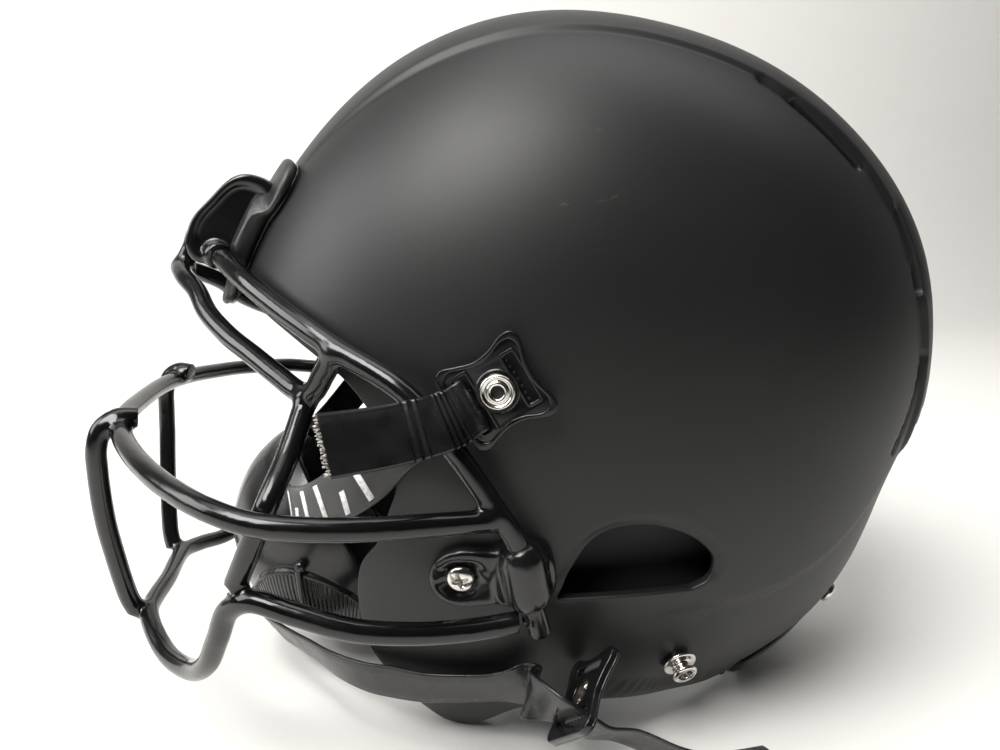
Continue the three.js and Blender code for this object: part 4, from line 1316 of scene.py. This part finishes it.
def cup_solid(outer, inner, around=128, across=64):
    """Bowl between two ellipsoids, open where the mouth plane cuts it."""
    side = unit(np.cross(CUP_NORMAL, [1, 0, 0]))
    opening = math.acos(CUP_EDGE / CUP_RADII[1]) + CUP_LIP_ANGLE
    angles = np.linspace(math.pi, opening, across)
    rows = [(a, outer) for a in angles]
    for t in np.linspace(0.3, math.pi - 0.3, 7):
        rows.append((opening - CUP_LIP_BULGE * math.sin(t), outer + (inner - outer) * (1 - math.cos(t)) / 2))
    rows += [(a, inner) for a in angles[::-1]]
    verts = []
    for a, depth in rows:
        for k in range(around):
            b = 2 * math.pi * k / around
            flat = np.array([1.0, 0, 0]) * math.cos(b) + side * math.sin(b)
            d = CUP_NORMAL * math.cos(a) + flat * math.sin(a)
            r = 1 / np.linalg.norm(d / (CUP_RADII - depth))
            verts.append(CUP_CENTRE + d * r)
    faces = ring_faces(len(rows), around)
    verts = np.array(verts)
    if signed_volume(verts, faces) < 0:
        faces = [f[::-1] for f in faces]
    return verts, faces


def on_cup(azimuth, z, out=0.0):
    flat = math.sqrt(max(0.0, 1 - ((z - CUP_CENTRE[2]) / CUP_RADII[2]) ** 2))
    d = np.array([math.sin(azimuth), -math.cos(azimuth), 0.0])
    reach = flat / np.linalg.norm(d[:2] / CUP_RADII[:2]) + out
    return np.array([d[0] * reach, CUP_CENTRE[1] + d[1] * reach, z])


def build_cup():
    v, f = cup_solid(0.0, CUP_WALL, 320, 110)
    local = v - CUP_CENTRE
    azimuth = np.abs(np.arctan2(local[:, 0], -local[:, 1]))
    arch = 62.5 - 19 * ((azimuth - 1.2) / 0.62) ** 2
    below = arch - v[:, 2]
    raised = smoothstep(below, 0, 1.0) * smoothstep(azimuth, 0.6,
                                                    0.64) * (1 - smoothstep(azimuth, 1.82, 1.85))
    sunk = smoothstep(below, 2.0, 2.8) * smoothstep(azimuth, 0.68,
                                                    0.7) * (1 - smoothstep(azimuth, 1.76, 1.79))
    outside = smoothstep(np.linalg.norm(local / CUP_RADII, axis=1), 0.965, 0.985)
    v = v + unit(local) * ((1.6 * raised - 0.6 * sunk) * outside)[:, None]
    make("chin_cup_shell", v, f, CUP_MAT, "chin_strap", ["chin_cup"], "gloss_black")
    column = [on_cup(POST_AZIMUTH, z, 2.0) for z in (40, 46, 52, 58, 63)]
    post = tube(catmull(column, 5), POST_RADIUS, 16)
    knob = ball(on_cup(POST_AZIMUTH + 0.02, 65, 2.0), KNOB_RADIUS)
    make_pair("cup_post", *joined(post, knob), GLOSS, "chin_strap", slot="gloss_black", sharp=50)


# ---------------------------------------------------------------- pads

SIM_FRAMES = 20
WALL_CLEARANCE = 5.5
PADS = {
    "front_pad": (18, [(-110, 190), (-26, 190), (0, 262), (-60, 262)],
                  [(-52, 180), (52, 180), (44, 262), (-44, 262)]),
    "crown_pad": (22, [(22, 230), (112, 230), (100, 300), (14, 300)],
                  [(-46, 225), (46, 225), (40, 300), (-40, 300)]),
    "rear_pad": (22, [(110, 66), (180, 66), (180, 168), (120, 168)],
                 [(-44, 60), (44, 60), (50, 110), (44, 170), (-44, 170), (-50, 110)]),
}
SIDE_PADS = {
    "side_pad": (26, [(0, 124), (84, 124), (100, 160), (84, 214), (6, 220), (-18, 170)]),
    "jaw_pad": (16, [(-58, 36), (-50, 20), (-14, 28), (-10, 62), (-18, 96), (-52, 100), (-62, 70)]),
}
BONNET = [(-52, 66), (-44, 104), (-20, 130), (10, 136), (60, 132), (84, 116), (92, 84), (84, 56), (40, 48),
          (0, 52), (-40, 48)]
PAD_TOP = -7.2
SHRINK = 2.2


def inflate(name, verts, faces, cap, voxel_size=5.0):
    """Swells a pad with cloth pressure, then returns its verts and faces."""
    verts, faces = voxel(verts, faces, voxel_size)
    obj = new_object(name, verts * MM, faces)
    cloth = obj.modifiers.new("cloth", "CLOTH")
    cloth.settings.use_pressure = True
    cloth.settings.uniform_pressure_force = 4.0
    cloth.settings.quality = 4
    cloth.settings.effector_weights.gravity = 0.0
    cloth.settings.tension_stiffness = 25
    cloth.settings.compression_stiffness = 25
    cloth.point_cache.frame_start = 1
    cloth.point_cache.frame_end = SIM_FRAMES
    for number in range(1, SIM_FRAMES + 1):
        scene.frame_set(number)
    graph = bpy.context.evaluated_depsgraph_get()
    moved = bpy.data.meshes.new_from_object(obj.evaluated_get(graph))
    after = np.array([v.co for v in moved.vertices]) / MM
    bpy.data.objects.remove(obj)
    bpy.data.meshes.remove(moved)
    scene.frame_set(1)
    shift = after - verts
    length = np.linalg.norm(shift, axis=1, keepdims=True)
    return verts + shift * np.minimum(1, cap / np.maximum(length, 1e-9)), faces


def inside_wall(verts, clearance):
    """Keeps a pad's points that much inside the egg's surface."""
    ray = verts - CENTRE
    length = np.linalg.norm(ray, axis=1)
    limit = egg_radius(ray / length[:, None]) - clearance
    return CENTRE + ray * np.minimum(1, limit / length)[:, None]


def add_pad(name, v, f, body, node, mirrored=False):
    if mirrored:
        v = v * [-1, 1, 1]
        f = [g[::-1] for g in f]
    obj = make(name, v, f, PAD_MAT, body, [node], "pad_cover")
    level = obj.modifiers.new("smooth", "SUBSURF")
    level.levels = level.render_levels = 1
    graph = bpy.context.evaluated_depsgraph_get()
    dense = bpy.data.meshes.new_from_object(obj.evaluated_get(graph))
    obj.modifiers.clear()
    obj.data = dense


def build_pads():
    for name, (thickness, side, face) in PADS.items():
        profile = catmull(side, 5, closed=True)
        front = catmull(face, 5, closed=True)

        def inside(p, profile=profile, front=front):
            return np.minimum(polygon_distance(p[:, 1:], profile),
                              polygon_distance(p[:, [0, 2]], front)) - SHRINK

        v, f = skin(inside, PAD_TOP - thickness + SHRINK, PAD_TOP - SHRINK, fillet=4, step=1.5)
        v, f = inflate(name, v, f, 5)
        add_pad("liner_" + name, inside_wall(v, WALL_CLEARANCE), f, "helmet", name)
    for name, (thickness, side) in SIDE_PADS.items():
        profile = catmull(side, 5, closed=True)

        def inside(p, profile=profile):
            return np.where(p[:, 0] > 30, polygon_distance(p[:, 1:], profile) - SHRINK, -50.0)

        v, f = skin(inside, PAD_TOP - thickness + SHRINK, PAD_TOP - SHRINK, fillet=4, step=1.5)
        v, f = inflate(name, v, f, 4)
        v = inside_wall(v, WALL_CLEARANCE)
        add_pad("liner_" + name + "_left", v, f, "helmet", name + "_left")
        add_pad("liner_" + name + "_right", v, f, "helmet", name + "_right", mirrored=True)
    shape = catmull(BONNET, 5, closed=True)

    def lining(p):
        return np.where(p[:, 0] > 30, polygon_distance(p[:, 1:], shape), -50.0)

    v, f = skin(lining, -21, -18.6, fillet=1.0)
    make_pair("liner_bonnet", v, f, PAD_MAT, "helmet", slot="pad_cover")
    v, f = cup_solid(CUP_WALL + 2.0, CUP_WALL + CUP_PAD - 1.5, 64, 32)
    v, f = inflate("chin_pad", v, f, 2.0, 3.0)
    ray = (v - CUP_CENTRE) / (CUP_RADII - CUP_WALL - 0.3)
    reach = np.linalg.norm(ray, axis=1, keepdims=True)
    v = CUP_CENTRE + (v - CUP_CENTRE) * np.minimum(1, 1 / reach)
    add_pad("cup_lining", v, f, "chin_strap", "chin_pad")


# ---------------------------------------------------------------- stage


def build_stage():
    wall_mat = Nodes("backdrop", (0.86, 0.85, 0.82), 0.8)
    paper = wall_mat.mix_color(wall_mat.noise(0.8, 2), (0.87, 0.86, 0.835), (0.84, 0.83, 0.80))
    # Painted shade: past x 0.25 m the floor fades to dark grey towards the camera and behind it, standing in
    # for the dimmer room on that side.
    painted_shade_near_camera = wall_mat.span(wall_mat.separate(wall_mat.coords.outputs["Object"])[0], 0.25, 0.9)
    wall_mat.color(wall_mat.mix_color(painted_shade_near_camera, paper, (0.3, 0.3, 0.29)))
    profile = [(2.5, 0.0), (-1.0, 0.0)]
    profile += [(-1.0 - 0.5 * math.sin(a), 0.5 * (1 - math.cos(a))) for a in np.linspace(0, math.pi / 2,
                                                                                         14)[1:]]
    profile += [(-1.5, 3.0)]
    verts = [(x, y, z) for x, z in profile for y in (-4.0, 4.0)]
    faces = [(2 * i, 2 * i + 1, 2 * i + 3, 2 * i + 2) for i in range(len(profile) - 1)]
    floor = new_object("floor", verts, faces)
    floor.data.polygons.foreach_set("use_smooth", [True] * len(faces))
    floor.data.materials.append(wall_mat.material)


def area_light(name, at, target, size, power, color):
    data = bpy.data.lights.new(name, "AREA")
    data.shape = "RECTANGLE"
    data.size, data.size_y = size
    data.energy = power
    data.color = color
    light = bpy.data.objects.new(name, data)
    light.location = at
    light.rotation_euler = (Vector(target) - Vector(at)).to_track_quat("-Z", "Y").to_euler()
    scene.collection.objects.link(light)


def build_world():
    """Room light: bright towards the backdrop and above, dim behind the camera."""
    world = bpy.data.worlds.new("studio")
    world.use_nodes = True
    tree = world.node_tree
    background = tree.nodes["Background"]
    place = tree.nodes.new("ShaderNodeTexCoord")
    split = tree.nodes.new("ShaderNodeSeparateXYZ")
    tree.links.new(place.outputs["Generated"], split.inputs[0])
    levels = []
    for axis, low, high, dark, light in ((0, 0.3, -0.8, 0.01, 0.45), (2, 0.35, 0.95, 0.0, 0.05)):
        node = tree.nodes.new("ShaderNodeMapRange")
        for key, value in zip(("From Min", "From Max", "To Min", "To Max"), (low, high, dark, light)):
            node.inputs[key].default_value = value
        tree.links.new(split.outputs[axis], node.inputs["Value"])
        levels.append(node.outputs["Result"])
    total = tree.nodes.new("ShaderNodeMath")
    tree.links.new(levels[0], total.inputs[0])
    tree.links.new(levels[1], total.inputs[1])
    tree.links.new(total.outputs[0], background.inputs["Strength"])
    background.inputs["Color"].default_value = (0.96, 0.98, 1, 1)
    scene.world = world


WHITE = (1, 1, 1)
LIGHTS = [
    ("key", (0.75, -0.7, 1.5), (0, 0, 0.15), (0.9, 0.9), 38, (1, 0.985, 0.96)),
    ("ceiling", (-0.2, 0.1, 2.0), (-0.1, 0.05, 0.15), (1.2, 1.6), 6, WHITE),
    ("wall", (-0.1, 0.0, 1.6), (-1.4, 0, 0.4), (2.4, 1.0), 14, (1, 0.99, 0.965)),
    ("front", (0.1, -1.2, 0.75), (0, -0.1, 0.1), (0.8, 0.8), 12, WHITE),
]
CAMERA_AT = (0.3675, -0.062, 0.2073)
CAMERA_YAW = math.radians(8.5)
CAMERA_PITCH = math.radians(11.3)
LENS = 28.8
SENSOR = 36


def build_camera():
    data = bpy.data.cameras.new("camera")
    data.lens = LENS
    data.sensor_width = SENSOR
    data.clip_start = 0.01
    camera = bpy.data.objects.new("camera", data)
    level = math.cos(CAMERA_PITCH)
    forward = Vector((-level * math.cos(CAMERA_YAW), level * math.sin(CAMERA_YAW), -math.sin(CAMERA_PITCH)))
    camera.location = CAMERA_AT
    camera.rotation_euler = forward.to_track_quat("-Z", "Y").to_euler()
    scene.collection.objects.link(camera)
    scene.camera = camera


scene.view_settings.view_transform = "Standard"
build_camera()
build_stage()
build_world()
for light in LIGHTS:
    area_light(*light)
build_shell()
build_front_bumper()
build_rear_bumper()
build_face_guard()
build_screws()
build_studs()
build_side_clips()
build_top_clips()
build_straps()
build_buckles()
build_cup()
build_pads()
